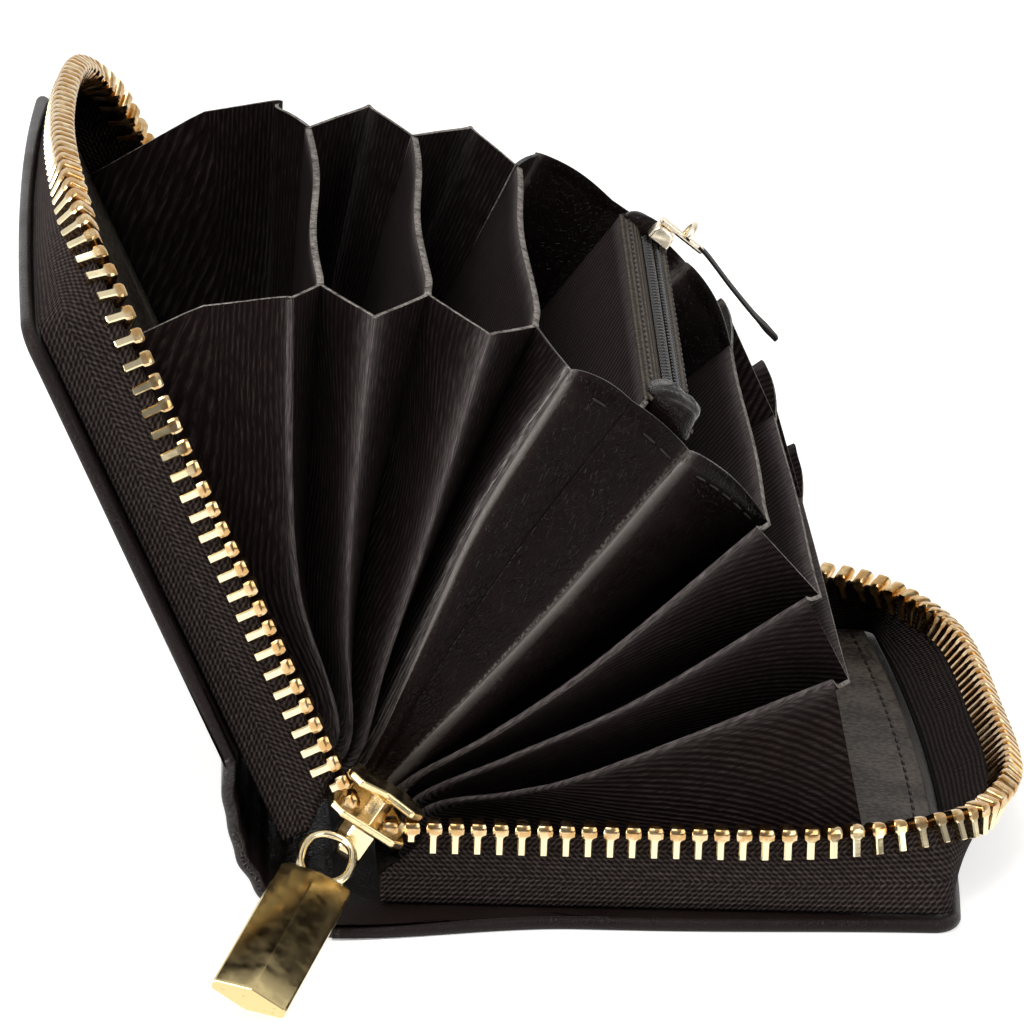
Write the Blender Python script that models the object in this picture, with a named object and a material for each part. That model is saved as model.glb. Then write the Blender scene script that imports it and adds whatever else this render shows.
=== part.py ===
"""Zip-around accordion card wallet, lying open at its photographed angle.

Two leather covers turn about a soft spine. A fan of six dividers and a zipped coin
pocket stands between them, joined by folded pleats. A metal zip runs round both
covers, and its slider is parked at the near end of the spine.

X runs along the lower cover away from the spine, Y along the spine away from the
viewer, and Z up. The lower cover lies on Z = 0.
"""
import math

import bmesh
import bpy
import numpy as np
from mathutils import Matrix, Vector

# Fits
FIT_GAP = 0.0003
OVERRUN = 0.0002

# Covers
HALF_DEPTH = 0.012
OPEN_ANGLE = math.radians(116.14)
LEATHER = 0.0016
LEATHER_ROUND = 0.0005
LOWER_START = -0.004
UPPER_START = 0.013
EDGE_MARGIN = 0.0015

# Lining panel of each cover
LINING = 0.0005
LINING_START = 0.0015
LINING_INSET = 0.0014

# Outline of the tooth row, measured along the row from the hinge line
ROW_LENGTH = 0.234
ROW_STRAIGHT = 0.0315
ROW_TURN = 0.0636
ROW_BOW = math.radians(14.2)
ROW_FLARE = 0.006
ROW_SAG = 0.0025
SAG_START = 0.05

# Zip tape and teeth
TAPE = 0.0006
TAPE_FOOT_START = 0.0015
TAPE_CUT_DEPTH = 0.0067
TAPE_KEEP_CLEAR = 0.00625
TOOTH_PITCH = 0.0025
TOOTH_HEIGHT = 0.0036
TOOTH_WIDTH = 0.0029
TOOTH_THICK = 0.00095
TOOTH_TOP_WIDTH = 0.0013
TOOTH_NIB = 0.00045
HEAD_DEPTH = 0.0014
CORD_DEPTH = 0.0008
LOWER_FIRST_TOOTH = 0.0072
UPPER_FIRST_TOOTH = 0.00754
TIP_CLEARANCE = 0.0002

# Fan of dividers
DIVIDER = 0.0008
DIVIDER_NEAR = 0.0165
DIVIDER_LENGTH = 0.0815
DIVIDER_FOOT = 0.002
STACK_START = 0.0043
POCKET_DEPTH = 0.007
POCKET_FLOOR = 0.0008
DIVIDER_ANGLES = tuple(math.radians(a) for a in (21.6, 31.0, 40.2, 53.2, 66.4, 77.4, 88.3))
DIVIDER_HEIGHTS = (0.055, 0.0563, 0.0563, 0.0575, 0.0588, 0.0583, 0.0577)
POCKET = 3

# Pleats between the dividers
PLEAT = 0.0005
PLEAT_OUT = 0.0112
PLEAT_ROOT_OUT = 0.002
PLEAT_BACK_OUT = 0.0014
COVER_PLEAT_TOP = 0.054
RIDGE_SHARES = (0.9, 0.8, 0.8, 0.45, 0.7, 0.43, 0.46, 0.13)
ROOT_RIDGE_SHARE = 0.5
PLEAT_STEPS = 3

# Spine leather
SPINE_BACK = 0.0172
SPINE_LOW_SHARE = 0.7
SPINE_HIGH_SHARE = 0.62
SPINE_STEPS = 18

# Coin pocket zip
COIN_TAPE = 0.0005
COIN_TAPE_DROP = 0.0012
COIL_WIDTH = 0.0007
COIL_HEIGHT = 0.0014
COIL_GAP = 0.0004
COIN_ZIP_MARGIN = 0.0012
TAB_THICK = 0.0015
TAB_NEAR = 0.012
TAB_FAR = 0.0024
COIN_SLIDER_LENGTH = 0.0078
COIN_SLIDER_HEIGHT = 0.0026
COIN_SLIDER_WALL = 0.0007
COIN_SLIDER_FROM_FAR = 0.0067
COIN_LUG_HEIGHT = 0.0018
COIN_LUG_RADIUS = 0.0013
COIN_PULL_LENGTH = 0.0175
COIN_PULL_WIDTH = 0.006
COIN_PULL_NECK = 0.0034
COIN_PULL_THICK = 0.0012

# Main slider, crown and puller
SLIDER_FRONT = -0.0045
SLIDER_LENGTH = 0.01
SLIDER_HALF_WIDTH = 0.0049
SLIDER_TAIL_HALF = 0.0034
SLIDER_PLATE = 0.0012
SLIDER_INSIDE = 0.0035
SLIDER_INNER_SHORT = 0.0012
FLANGE = 0.001
FLANGE_DEPTH = 0.0011
POST_LENGTH = 0.0036
POST_HALF_WIDTH = 0.0014
MOUTH_TILT = math.radians(24)
MOUTH_LEAD_LOWER = 0.0003
MOUTH_LEAD_UPPER = 0.0013
CROWN_LENGTH = 0.0078
CROWN_RISE = 0.003
CROWN_WIDTH = 0.003
CROWN_THICK = 0.0009
PULLER_WIDTH = 0.008
PULLER_TIP_WIDTH = 0.0082
PULLER_THICK = 0.003
PULLER_EDGE = 0.0014
PULLER_SHOULDER = 0.0058
EYE_WIDTH = 0.0068
EYE_BAR = 0.0012
EYE_HOLE_WIDTH = 0.0042
EYE_HOLE_LENGTH = 0.0026
EYE_THICK = 0.0011
PULLER_PIVOT_BACK = 0.0022
PULLER_TIP = Vector((-0.0114, -0.0282, -0.0059))
PULLER_ROLL = math.radians(-20.5)

# Stop behind the slider, where the two rows begin
STOP_WIDTH = 0.0046
STOP_LENGTH = 0.003
STOP_DEPTH = 0.0026

# Facets
ROW_SAMPLES = 800
OUTLINE_STEPS = 40
TAPE_STEPS = 46
LUG_STEPS = 10

AXIS_Y = Vector((0.0, 1.0, 0.0))
HINGE = Vector((0.0, 0.0, HALF_DEPTH))
INNER_FACE = HALF_DEPTH - LEATHER - FIT_GAP
LINING_TOP = INNER_FACE - LINING


def smooth(share):
    """Eased step from 0 to 1."""
    t = min(max(share, 0.0), 1.0)
    return t * t * (3.0 - 2.0 * t)


def row_table():
    """Row outline as arrays of run, u, v and heading.

    The heading turns by a quarter less the bow at each far corner, and the bow is
    spread over the fore edge. The outline is symmetric about its middle.
    """
    run = np.linspace(0.0, ROW_LENGTH, ROW_SAMPLES)
    half = ROW_LENGTH / 2.0
    side = np.minimum(run, ROW_LENGTH - run)
    corner = np.clip((side - ROW_STRAIGHT) / ROW_TURN, 0.0, 1.0)
    corner = corner * corner * (3.0 - 2.0 * corner)
    bow_from = ROW_STRAIGHT + ROW_TURN / 2.0
    bow = np.clip((side - bow_from) / (2.0 * (half - bow_from)), 0.0, 1.0)
    bow = 2.0 * bow * bow * (3.0 - 2.0 * bow)
    heading = (math.pi / 2.0 - ROW_BOW) * corner + ROW_BOW * bow
    heading = np.where(run <= half, heading, math.pi - heading)
    step = run[1] - run[0]
    cosines = np.cos(heading)
    sines = np.sin(heading)
    u = np.concatenate([[0.0], np.cumsum((cosines[1:] + cosines[:-1]) * step / 2.0)])
    v = np.concatenate([[0.0], np.cumsum((sines[1:] + sines[:-1]) * step / 2.0)])
    return run, u, v, heading


RUN, ROW_U, ROW_V, ROW_HEADING = row_table()
CASE_LENGTH = float(ROW_V[-1])


class Cover:
    """Frame of one cover: u away from the hinge line, v along it, w inwards."""

    def __init__(self, name, angle, inward):
        self.name = name
        self.along = Vector((math.cos(angle), 0.0, math.sin(angle)))
        self.inward = inward

    def place(self, u, v, w):
        """World point of a place on the cover."""
        return HINGE + self.along * u + AXIS_Y * v + self.inward * w

    def row(self, run):
        """Point of the tip line, the tangent and the outward direction at a run."""
        u = float(np.interp(run, RUN, ROW_U))
        v = float(np.interp(run, RUN, ROW_V))
        heading = float(np.interp(run, RUN, ROW_HEADING))
        half = ROW_LENGTH / 2.0
        sag = ROW_SAG * smooth(1.0 - abs(run - half) / (half - SAG_START))
        tangent = self.along * math.cos(heading) + AXIS_Y * math.sin(heading)
        outward = self.along * math.sin(heading) - AXIS_Y * math.cos(heading)
        return self.place(u, v, -sag - TIP_CLEARANCE), tangent, outward

    def wall(self, run):
        """Foot and tip of the tape wall at a run, and the outward direction."""
        tip, tangent, outward = self.row(run)
        side = min(run, ROW_LENGTH - run)
        flare = ROW_FLARE * smooth((side - ROW_STRAIGHT) / ROW_TURN)
        height = (tip - HINGE).dot(self.inward) + INNER_FACE
        foot = tip - outward * flare - self.inward * height
        return foot, tip, tangent, outward


LOWER = Cover("lower", 0.0, Vector((0.0, 0.0, 1.0)))
UPPER = Cover("upper", OPEN_ANGLE, Vector((math.sin(OPEN_ANGLE), 0.0, -math.cos(OPEN_ANGLE))))


def clear_scene():
    """Remove every object of the open file."""
    for old in list(bpy.data.objects):
        bpy.data.objects.remove(old, do_unlink=True)


def material(name, colour, roughness, metallic):
    """Principled material with a plain colour."""
    made = bpy.data.materials.new(name)
    made.use_nodes = True
    shader = made.node_tree.nodes["Principled BSDF"]
    shader.inputs["Base Color"].default_value = (*colour, 1.0)
    shader.inputs["Roughness"].default_value = roughness
    shader.inputs["Metallic"].default_value = metallic
    made.diffuse_color = (*colour, 1.0)
    return made


def finish(name, mesh_data, look, origin, smooth_angle=None):
    """Turn a bmesh in world places into a named object whose origin lies at a point."""
    bmesh.ops.recalc_face_normals(mesh_data, faces=mesh_data.faces[:])
    bmesh.ops.translate(mesh_data, vec=-origin, verts=mesh_data.verts[:])
    mesh = bpy.data.meshes.new(name)
    mesh_data.to_mesh(mesh)
    mesh_data.free()
    mesh.materials.append(look)
    if smooth_angle is not None:
        mesh.shade_smooth()
        mesh.set_sharp_from_angle(angle=smooth_angle)
    made = bpy.data.objects.new(name, mesh)
    made.location = origin
    bpy.context.scene.collection.objects.link(made)
    return made


def add_prism(mesh_data, outline, depth):
    """Extrude a flat outline of world points by a depth vector."""
    verts = [mesh_data.verts.new(p) for p in outline]
    face = mesh_data.faces.new(verts)
    grown = bmesh.ops.extrude_face_region(mesh_data, geom=[face], use_keep_orig=True)
    moved = [g for g in grown["geom"] if isinstance(g, bmesh.types.BMVert)]
    bmesh.ops.translate(mesh_data, vec=depth, verts=moved)


def add_loft(mesh_data, rings):
    """Skin rings of equal count and close both ends."""
    made = [[mesh_data.verts.new(p) for p in ring] for ring in rings]
    count = len(made[0])
    for low, high in zip(made, made[1:]):
        for k in range(count):
            nxt = (k + 1) % count
            mesh_data.faces.new((low[k], low[nxt], high[nxt], high[k]))
    mesh_data.faces.new(list(reversed(made[0])))
    mesh_data.faces.new(made[-1])


def add_sheet(mesh_data, grid, offsets):
    """Closed sheet from a grid of points and the half-thickness vector at each."""
    rows = len(grid)
    cols = len(grid[0])
    top = [[mesh_data.verts.new(grid[i][j] + offsets[i][j]) for j in range(cols)] for i in range(rows)]
    low = [[mesh_data.verts.new(grid[i][j] - offsets[i][j]) for j in range(cols)] for i in range(rows)]
    for i in range(rows - 1):
        for j in range(cols - 1):
            mesh_data.faces.new((top[i][j], top[i + 1][j], top[i + 1][j + 1], top[i][j + 1]))
            mesh_data.faces.new((low[i][j], low[i][j + 1], low[i + 1][j + 1], low[i + 1][j]))
    rim = [(0, j) for j in range(cols)]
    rim += [(i, cols - 1) for i in range(1, rows)]
    rim += [(rows - 1, j) for j in range(cols - 2, -1, -1)]
    rim += [(i, 0) for i in range(rows - 2, 0, -1)]
    for (a, b), (c, d) in zip(rim, rim[1:] + rim[:1]):
        mesh_data.faces.new((top[a][b], top[c][d], low[c][d], low[a][b]))


def grid_normals(grid, half):
    """Half-thickness vectors from the mean of the facets round each grid point."""
    rows = len(grid)
    cols = len(grid[0])
    result = []
    for i in range(rows):
        line = []
        for j in range(cols):
            total = Vector((0.0, 0.0, 0.0))
            for di, dj in ((1, 1), (-1, 1), (-1, -1), (1, -1)):
                if 0 <= i + di < rows and 0 <= j + dj < cols:
                    one = grid[i + di][j] - grid[i][j]
                    two = grid[i][j + dj] - grid[i][j]
                    total += (one.cross(two) * (di * dj)).normalized()
            line.append(total.normalized() * half)
        result.append(line)
    return result


def cover_outline(cover, start, inset, level):
    """Outline of a cover plate or lining: the foot of the wall moved in by an inset."""
    points = []
    first = max(start, TOOTH_PITCH)
    for k in range(OUTLINE_STEPS + 1):
        run = first + (ROW_LENGTH - 2.0 * first) * k / OUTLINE_STEPS
        foot, _, _, outward = cover.wall(run)
        spot = foot - outward * inset
        local = spot - HINGE
        points.append(cover.place(local.dot(cover.along), local.dot(AXIS_Y), level))
    far = cover.place(start, CASE_LENGTH - inset, level)
    near = cover.place(start, inset, level)
    if start < first:
        points.append(far)
        points.append(near)
    return points


def build_cover(cover, start, looks):
    """Leather plate of a cover, with its turned edge rounded."""
    mesh_data = bmesh.new()
    outline = cover_outline(cover, start, -EDGE_MARGIN, -HALF_DEPTH)
    add_prism(mesh_data, outline, cover.inward * LEATHER)
    made = finish(cover.name + "_cover", mesh_data, looks["leather"], HINGE)
    bevel = made.modifiers.new("turned_edge", "BEVEL")
    bevel.width = LEATHER_ROUND
    bevel.segments = 2
    bevel.limit_method = "ANGLE"
    return made


def build_lining(cover, looks):
    """Grained leather panel inside a cover, within the foot of the tape."""
    mesh_data = bmesh.new()
    outline = cover_outline(cover, LINING_START, LINING_INSET, -INNER_FACE)
    add_prism(mesh_data, outline, cover.inward * LINING)
    return finish(cover.name + "_lining", mesh_data, looks["lining"], HINGE)


def tape_start(depth):
    """Run at which the tape begins, cut back round the circle that the slider needs."""
    if depth >= TAPE_CUT_DEPTH:
        return TAPE_FOOT_START
    return math.sqrt(TAPE_KEEP_CLEAR ** 2 - depth ** 2)


def build_tape(cover, looks):
    """Woven tape that stands round three sides of a cover and carries the teeth."""
    top_depth = HEAD_DEPTH + CORD_DEPTH + FIT_GAP
    full = INNER_FACE
    middle = top_depth + (TAPE_CUT_DEPTH - top_depth) / 2.0
    depths = (top_depth, middle, TAPE_CUT_DEPTH, full)
    grid = []
    offsets = []
    for k in range(TAPE_STEPS + 1):
        line = []
        thick = []
        for depth in depths:
            begin = tape_start(depth)
            run = begin + (ROW_LENGTH - 2.0 * begin) * k / TAPE_STEPS
            foot, tip, _, outward = cover.wall(run)
            wall = tip - foot
            share = depth / full
            line.append(tip - wall * share)
            thick.append(outward * (TAPE / 2.0))
        grid.append(line)
        offsets.append(thick)
    mesh_data = bmesh.new()
    add_sheet(mesh_data, grid, offsets)
    return finish(cover.name + "_tape", mesh_data, looks["tape"], HINGE, math.radians(30))


def add_tooth(mesh_data, tip, along, outward, up):
    """One clamped tooth: two legs beside the tape and a head with a nib.

    The section across the row is an upturned U. The legs are as thick as the strip
    that they are cut from, and the head leans out along the row to form the nib.
    """
    half = TOOTH_WIDTH / 2.0
    slot = TAPE / 2.0 + FIT_GAP
    crown = TOOTH_TOP_WIDTH / 2.0
    thin = TOOTH_THICK / 2.0
    levels = {
        "leg": (-TOOTH_HEIGHT, -thin, thin),
        "head": (-HEAD_DEPTH, -thin, thin),
        "top": (0.0, -thin + TOOTH_NIB / 2.0, thin + TOOTH_NIB),
    }
    section = (("leg", -half), ("leg", -slot), ("head", -slot), ("head", slot), ("leg", slot), ("leg", half),
               ("head", half), ("top", crown), ("top", -crown), ("head", -half))
    sides = []
    for pick in (1, 2):
        ring = []
        for level, across in section:
            height = levels[level][0]
            shift = levels[level][pick]
            ring.append(mesh_data.verts.new(tip + outward * across + up * height + along * shift))
        sides.append(ring)
    count = len(section)
    for k in range(count):
        nxt = (k + 1) % count
        mesh_data.faces.new((sides[0][k], sides[0][nxt], sides[1][nxt], sides[1][k]))
    for ring in sides:
        mesh_data.faces.new((ring[0], ring[1], ring[2], ring[9]))
        mesh_data.faces.new((ring[3], ring[4], ring[5], ring[6]))
        mesh_data.faces.new((ring[9], ring[2], ring[3], ring[6], ring[7], ring[8]))


def build_teeth(cover, first, looks):
    """All teeth of one side, a pitch apart, clamped on the cord that joins them."""
    mesh_data = bmesh.new()
    rings = []
    half = TAPE / 2.0 + FIT_GAP + OVERRUN
    count = int((ROW_LENGTH - 2.0 * first) / TOOTH_PITCH) + 1
    for k in range(count):
        foot, tip, tangent, outward = cover.wall(first + TOOTH_PITCH * k)
        up = (tip - foot).normalized()
        outward = (outward - up * outward.dot(up)).normalized()
        add_tooth(mesh_data, tip, tangent, outward, up)
        top = tip - up * (HEAD_DEPTH - OVERRUN)
        low = tip - up * (HEAD_DEPTH + CORD_DEPTH)
        rings.append([low - outward * half, low + outward * half, top + outward * half, top - outward * half])
    cord = bmesh.new()
    add_loft(cord, rings)
    row = finish(cover.name + "_teeth", cord, looks["brass"], HINGE)
    union = row.modifiers.new("clamped", "BOOLEAN")
    union.operation = "UNION"
    union.solver = "EXACT"
    union.object = tool(cover.name + "_teeth_tool", mesh_data)
    return row


def build_spine(looks):
    """Soft leather from the lower cover's edge round the back to the upper cover."""
    start = Vector((LOWER_START - FIT_GAP, 0.0, -HALF_DEPTH))
    end = UPPER.place(UPPER_START - FIT_GAP, 0.0, -HALF_DEPTH) - HINGE
    low = Vector((-SPINE_BACK * SPINE_LOW_SHARE, 0.0, -HALF_DEPTH))
    high = Vector((-SPINE_BACK, 0.0, -HALF_DEPTH + HALF_DEPTH * SPINE_HIGH_SHARE))
    curve = []
    for k in range(SPINE_STEPS + 1):
        t = k / SPINE_STEPS
        s = 1.0 - t
        curve.append(start * s ** 3 + low * 3 * s * s * t + high * 3 * s * t * t + end * t ** 3)
    inner = []
    for k, point in enumerate(curve):
        ahead = curve[min(k + 1, SPINE_STEPS)] - curve[max(k - 1, 0)]
        normal = Vector((ahead.z, 0.0, -ahead.x)).normalized()
        if k == 0:
            normal = Vector((0.0, 0.0, 1.0))
        if k == SPINE_STEPS:
            normal = UPPER.inward
        inner.append(point + normal * LEATHER)
    outline = [HINGE + p + AXIS_Y * -EDGE_MARGIN for p in curve + inner[::-1]]
    mesh_data = bmesh.new()
    add_prism(mesh_data, outline, AXIS_Y * (CASE_LENGTH + 2.0 * EDGE_MARGIN))
    return finish("spine_leather", mesh_data, looks["leather"], HINGE, math.radians(40))


def direction(angle):
    """Unit vector in the plane across the spine."""
    return Vector((math.cos(angle), 0.0, math.sin(angle)))


def stack_levels():
    """Heights of the dividers' middles above the lower lining when the wallet is shut."""
    room = 2.0 * LINING_TOP
    solid = DIVIDER * (len(DIVIDER_ANGLES) - 1) + POCKET_DEPTH
    gap = (room - solid) / (len(DIVIDER_ANGLES) + 1)
    levels = []
    used = 0.0
    for k in range(len(DIVIDER_ANGLES)):
        thick = POCKET_DEPTH if k == POCKET else DIVIDER
        levels.append(used + gap + thick / 2.0)
        used += gap + thick
    return levels, room


def divider_roots():
    """Rest places of the dividers' roots, from chains that start at either cover.

    Each step of a chain is as long as the spacing in the shut stack, square to the
    mean direction of the two neighbours. The two chains are then shared out.
    """
    levels, room = stack_levels()
    angles = [0.0] + list(DIVIDER_ANGLES) + [OPEN_ANGLE]
    heights = [0.0] + levels + [room]
    first = LOWER.place(STACK_START, 0.0, -LINING_TOP)
    last = UPPER.place(STACK_START, 0.0, -LINING_TOP)
    steps = []
    for k in range(len(angles) - 1):
        mean = (angles[k] + angles[k + 1]) / 2.0 + math.pi / 2.0
        steps.append(direction(mean) * (heights[k + 1] - heights[k]))
    from_low = [first]
    for step in steps:
        from_low.append(from_low[-1] + step)
    error = last - from_low[-1]
    count = len(steps)
    roots = [p + error * (k / count) for k, p in enumerate(from_low)]
    return roots[1:-1]


ROOTS = divider_roots()


class Divider:
    """Frame of one divider: r from its root, m square to it, y along the spine."""

    def __init__(self, index):
        self.root = ROOTS[index]
        self.out = direction(DIVIDER_ANGLES[index])
        self.side = direction(DIVIDER_ANGLES[index] + math.pi / 2.0)
        self.height = DIVIDER_HEIGHTS[index]
        self.half = (POCKET_DEPTH if index == POCKET else DIVIDER) / 2.0

    def place(self, r, m, y):
        """World point of a place on the divider."""
        return self.root + self.out * r + self.side * m + AXIS_Y * y


LEAVES = [Divider(k) for k in range(len(DIVIDER_ANGLES))]
DIVIDER_NAMES = ("card_divider_1", "card_divider_2", "card_divider_3", None,
                 "card_divider_4", "card_divider_5", "card_divider_6")
DIVIDER_FAR = DIVIDER_NEAR + DIVIDER_LENGTH


def add_box(mesh_data, frame, radial, across, along):
    """Box in a divider's frame between pairs of radial, across and along places."""
    outline = [frame.place(radial[0], across[0], along[0]), frame.place(radial[1], across[0], along[0]),
               frame.place(radial[1], across[1], along[0]), frame.place(radial[0], across[1], along[0])]
    add_prism(mesh_data, outline, AXIS_Y * (along[1] - along[0]))


def build_dividers(looks):
    """Six flat card dividers, each a thin board with its foot clear of its neighbours."""
    for leaf, name in zip(LEAVES, DIVIDER_NAMES):
        if name is None:
            continue
        mesh_data = bmesh.new()
        add_box(mesh_data, leaf, (DIVIDER_FOOT, leaf.height), (-leaf.half, leaf.half), (DIVIDER_NEAR, DIVIDER_FAR))
        finish(name, mesh_data, looks["fabric"], leaf.root)


def build_pocket(looks):
    """Coin pocket: two walls, a floor, two ends and the zip across its mouth."""
    leaf = LEAVES[POCKET]
    inner = leaf.half - DIVIDER
    span = (DIVIDER_NEAR, DIVIDER_FAR)
    floor_top = DIVIDER_FOOT + POCKET_FLOOR
    for name, low, high in (("coin_wall_lower", -leaf.half, -inner), ("coin_wall_upper", inner, leaf.half)):
        mesh_data = bmesh.new()
        add_box(mesh_data, leaf, (DIVIDER_FOOT, leaf.height), (low, high), span)
        finish(name, mesh_data, looks["leather"], leaf.root)
    reach = inner - FIT_GAP
    mesh_data = bmesh.new()
    add_box(mesh_data, leaf, (DIVIDER_FOOT, floor_top), (-reach, reach), span)
    finish("coin_floor", mesh_data, looks["fabric"], leaf.root)
    zip_low = leaf.height - COIN_TAPE_DROP
    ends = (("coin_end_near", span[0], span[0] + DIVIDER), ("coin_end_far", span[1] - DIVIDER, span[1]))
    for name, low, high in ends:
        mesh_data = bmesh.new()
        add_box(mesh_data, leaf, (floor_top + FIT_GAP, zip_low - FIT_GAP), (-reach, reach), (low, high))
        finish(name, mesh_data, looks["fabric"], leaf.root)
    coil_edge = COIL_GAP / 2.0 + COIL_WIDTH
    for name, sign in (("coin_tape_lower", -1.0), ("coin_tape_upper", 1.0)):
        mesh_data = bmesh.new()
        across = sorted((sign * (coil_edge + FIT_GAP), sign * reach))
        add_box(mesh_data, leaf, (zip_low, zip_low + COIN_TAPE), across, span)
        finish(name, mesh_data, looks["tape"], leaf.root)
    for name, sign in (("coin_coil_lower", -1.0), ("coin_coil_upper", 1.0)):
        mesh_data = bmesh.new()
        across = sorted((sign * COIL_GAP / 2.0, sign * coil_edge))
        along = (span[0] + COIN_ZIP_MARGIN, span[1] - COIN_ZIP_MARGIN)
        add_box(mesh_data, leaf, (zip_low, zip_low + COIL_HEIGHT), across, along)
        finish(name, mesh_data, looks["nylon"], leaf.root)
    tabs = (("coin_tab_near", span[0], span[0] + TAB_NEAR), ("coin_tab_far", span[1] - TAB_FAR, span[1]))
    tab_foot = max(leaf.height, zip_low + COIL_HEIGHT) + FIT_GAP
    for name, low, high in tabs:
        mesh_data = bmesh.new()
        add_box(mesh_data, leaf, (tab_foot, tab_foot + TAB_THICK), (-leaf.half, leaf.half), (low, high))
        made = finish(name, mesh_data, looks["leather"], leaf.root)
        bevel = made.modifiers.new("soft_edge", "BEVEL")
        bevel.width = TAB_THICK / 3.0
        bevel.segments = 2


def coin_slider_centre():
    """Distance along the spine of the coin slider's middle."""
    return DIVIDER_FAR - COIN_SLIDER_FROM_FAR


def build_coin_slider(looks):
    """Small slider straddling the two coils, with a lug, and its leather pull."""
    leaf = LEAVES[POCKET]
    half_in = COIL_GAP / 2.0 + COIL_WIDTH + FIT_GAP
    half_out = half_in + COIN_SLIDER_WALL
    low = leaf.height - COIN_TAPE_DROP + COIN_TAPE + FIT_GAP
    roof = leaf.height - COIN_TAPE_DROP + COIL_HEIGHT + FIT_GAP
    high = low + COIN_SLIDER_HEIGHT
    middle = coin_slider_centre()
    near = middle - COIN_SLIDER_LENGTH / 2.0
    section = ((low, -half_out), (high, -half_out + COIN_SLIDER_WALL), (high, half_out - COIN_SLIDER_WALL),
               (low, half_out), (low, half_in), (roof, half_in), (roof, -half_in), (low, -half_in))
    mesh_data = bmesh.new()
    add_prism(mesh_data, [leaf.place(r, m, near) for r, m in section], AXIS_Y * COIN_SLIDER_LENGTH)
    finish("coin_slider", mesh_data, looks["brass"], leaf.place(low, 0.0, middle))

    lug_low = high + FIT_GAP
    mesh_data = bmesh.new()
    ring = []
    for k in range(LUG_STEPS):
        turn = math.tau * k / LUG_STEPS
        ring.append(leaf.place(lug_low, COIN_LUG_RADIUS * math.cos(turn), middle + COIN_LUG_RADIUS * math.sin(turn)))
    add_prism(mesh_data, ring, leaf.out * COIN_LUG_HEIGHT)
    finish("coin_slider_lug", mesh_data, looks["brass"], leaf.place(lug_low, 0.0, middle))

    level = lug_low + (COIN_LUG_HEIGHT - COIN_PULL_THICK) / 2.0
    root = COIN_LUG_RADIUS + FIT_GAP
    neck = COIN_PULL_NECK / 2.0
    wide = COIN_PULL_WIDTH / 2.0
    shape = ((root, -neck), (root + COIN_PULL_NECK, -neck), (COIN_PULL_LENGTH - neck, -wide), (COIN_PULL_LENGTH, -neck),
             (COIN_PULL_LENGTH, neck), (COIN_PULL_LENGTH - neck, wide), (root + COIN_PULL_NECK, neck), (root, neck))
    mesh_data = bmesh.new()
    add_prism(mesh_data, [leaf.place(level, -r, middle + y) for r, y in shape], leaf.out * COIN_PULL_THICK)
    finish("coin_pull", mesh_data, looks["leather"], leaf.place(level, 0.0, middle))


class CoverSeat:
    """Stand-in frame for a cover at the end of the fan, used by the outer pleats."""

    def __init__(self, cover, sign):
        self.root = cover.place(STACK_START, 0.0, -LINING_TOP)
        self.out = cover.along
        self.side = cover.inward * sign
        self.height = COVER_PLEAT_TOP
        self.half = 0.0

    def place(self, r, m, y):
        """World point of a place on the lining."""
        return self.root + self.out * r + self.side * m + AXIS_Y * y


def pleat_line(frame, sign, near, far, share_steps):
    """Edge of a pleat that follows a divider's near edge, root and far edge."""
    if frame.half == 0.0:
        off = sign * (FIT_GAP + PLEAT / 2.0)
        start = DIVIDER_FOOT
    else:
        off = sign * max(frame.half - PLEAT / 2.0, (PLEAT + FIT_GAP) / 2.0)
        start = DIVIDER_FOOT - FIT_GAP - PLEAT
    top = frame.height
    points = []
    for k in range(share_steps, -1, -1):
        points.append(frame.place(start + (top - start) * k / share_steps, off, near))
    for k in range(1, share_steps + 1):
        points.append(frame.place(start, off, near + (far - near) * k / share_steps))
    for k in range(1, share_steps + 1):
        points.append(frame.place(start + (top - start) * k / share_steps, off, far))
    return points


def build_pleats(looks):
    """Eight folded gussets, each running down the near end, along the root and up the far end."""
    seats = [CoverSeat(LOWER, 1.0)] + LEAVES + [CoverSeat(UPPER, -1.0)]
    near = DIVIDER_NEAR - FIT_GAP - PLEAT / 2.0
    far = DIVIDER_FAR + FIT_GAP + PLEAT / 2.0
    steps = PLEAT_STEPS
    for k in range(len(seats) - 1):
        low = pleat_line(seats[k], 1.0, near, far, steps)
        high = pleat_line(seats[k + 1], -1.0, near, far, steps)
        ridge = []
        for n, (a, b) in enumerate(zip(low, high)):
            reach = max((steps - n) / steps, (n - 2 * steps) / steps, 0.0)
            depth = PLEAT_ROOT_OUT + (PLEAT_OUT - PLEAT_ROOT_OUT) * reach
            share = ROOT_RIDGE_SHARE + (RIDGE_SHARES[k] - ROOT_RIDGE_SHARE) * reach
            middle = a.lerp(b, share)
            out = Vector((0.0, 0.0, 0.0))
            if n <= steps:
                out = -AXIS_Y * depth
            if n >= 2 * steps:
                out = AXIS_Y * depth
            if steps <= n <= 2 * steps:
                back = (seats[k].out + seats[k + 1].out).normalized()
                out = out - back * PLEAT_BACK_OUT
            ridge.append(middle + out)
        grid = [list(row) for row in zip(low, ridge, high)]
        mesh_data = bmesh.new()
        add_sheet(mesh_data, grid, grid_normals(grid, PLEAT / 2.0))
        finish("pleat_%d" % (k + 1), mesh_data, looks["fabric"], seats[k].root)


HALF_ANGLE = OPEN_ANGLE / 2.0
MID_OUT = direction(HALF_ANGLE)
MID_ACROSS = direction(HALF_ANGLE - math.pi / 2.0)


def slider_place(across, along, out):
    """World point in the main slider's frame, whose origin is on the hinge line."""
    return HINGE + MID_ACROSS * across + AXIS_Y * along + MID_OUT * out


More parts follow.
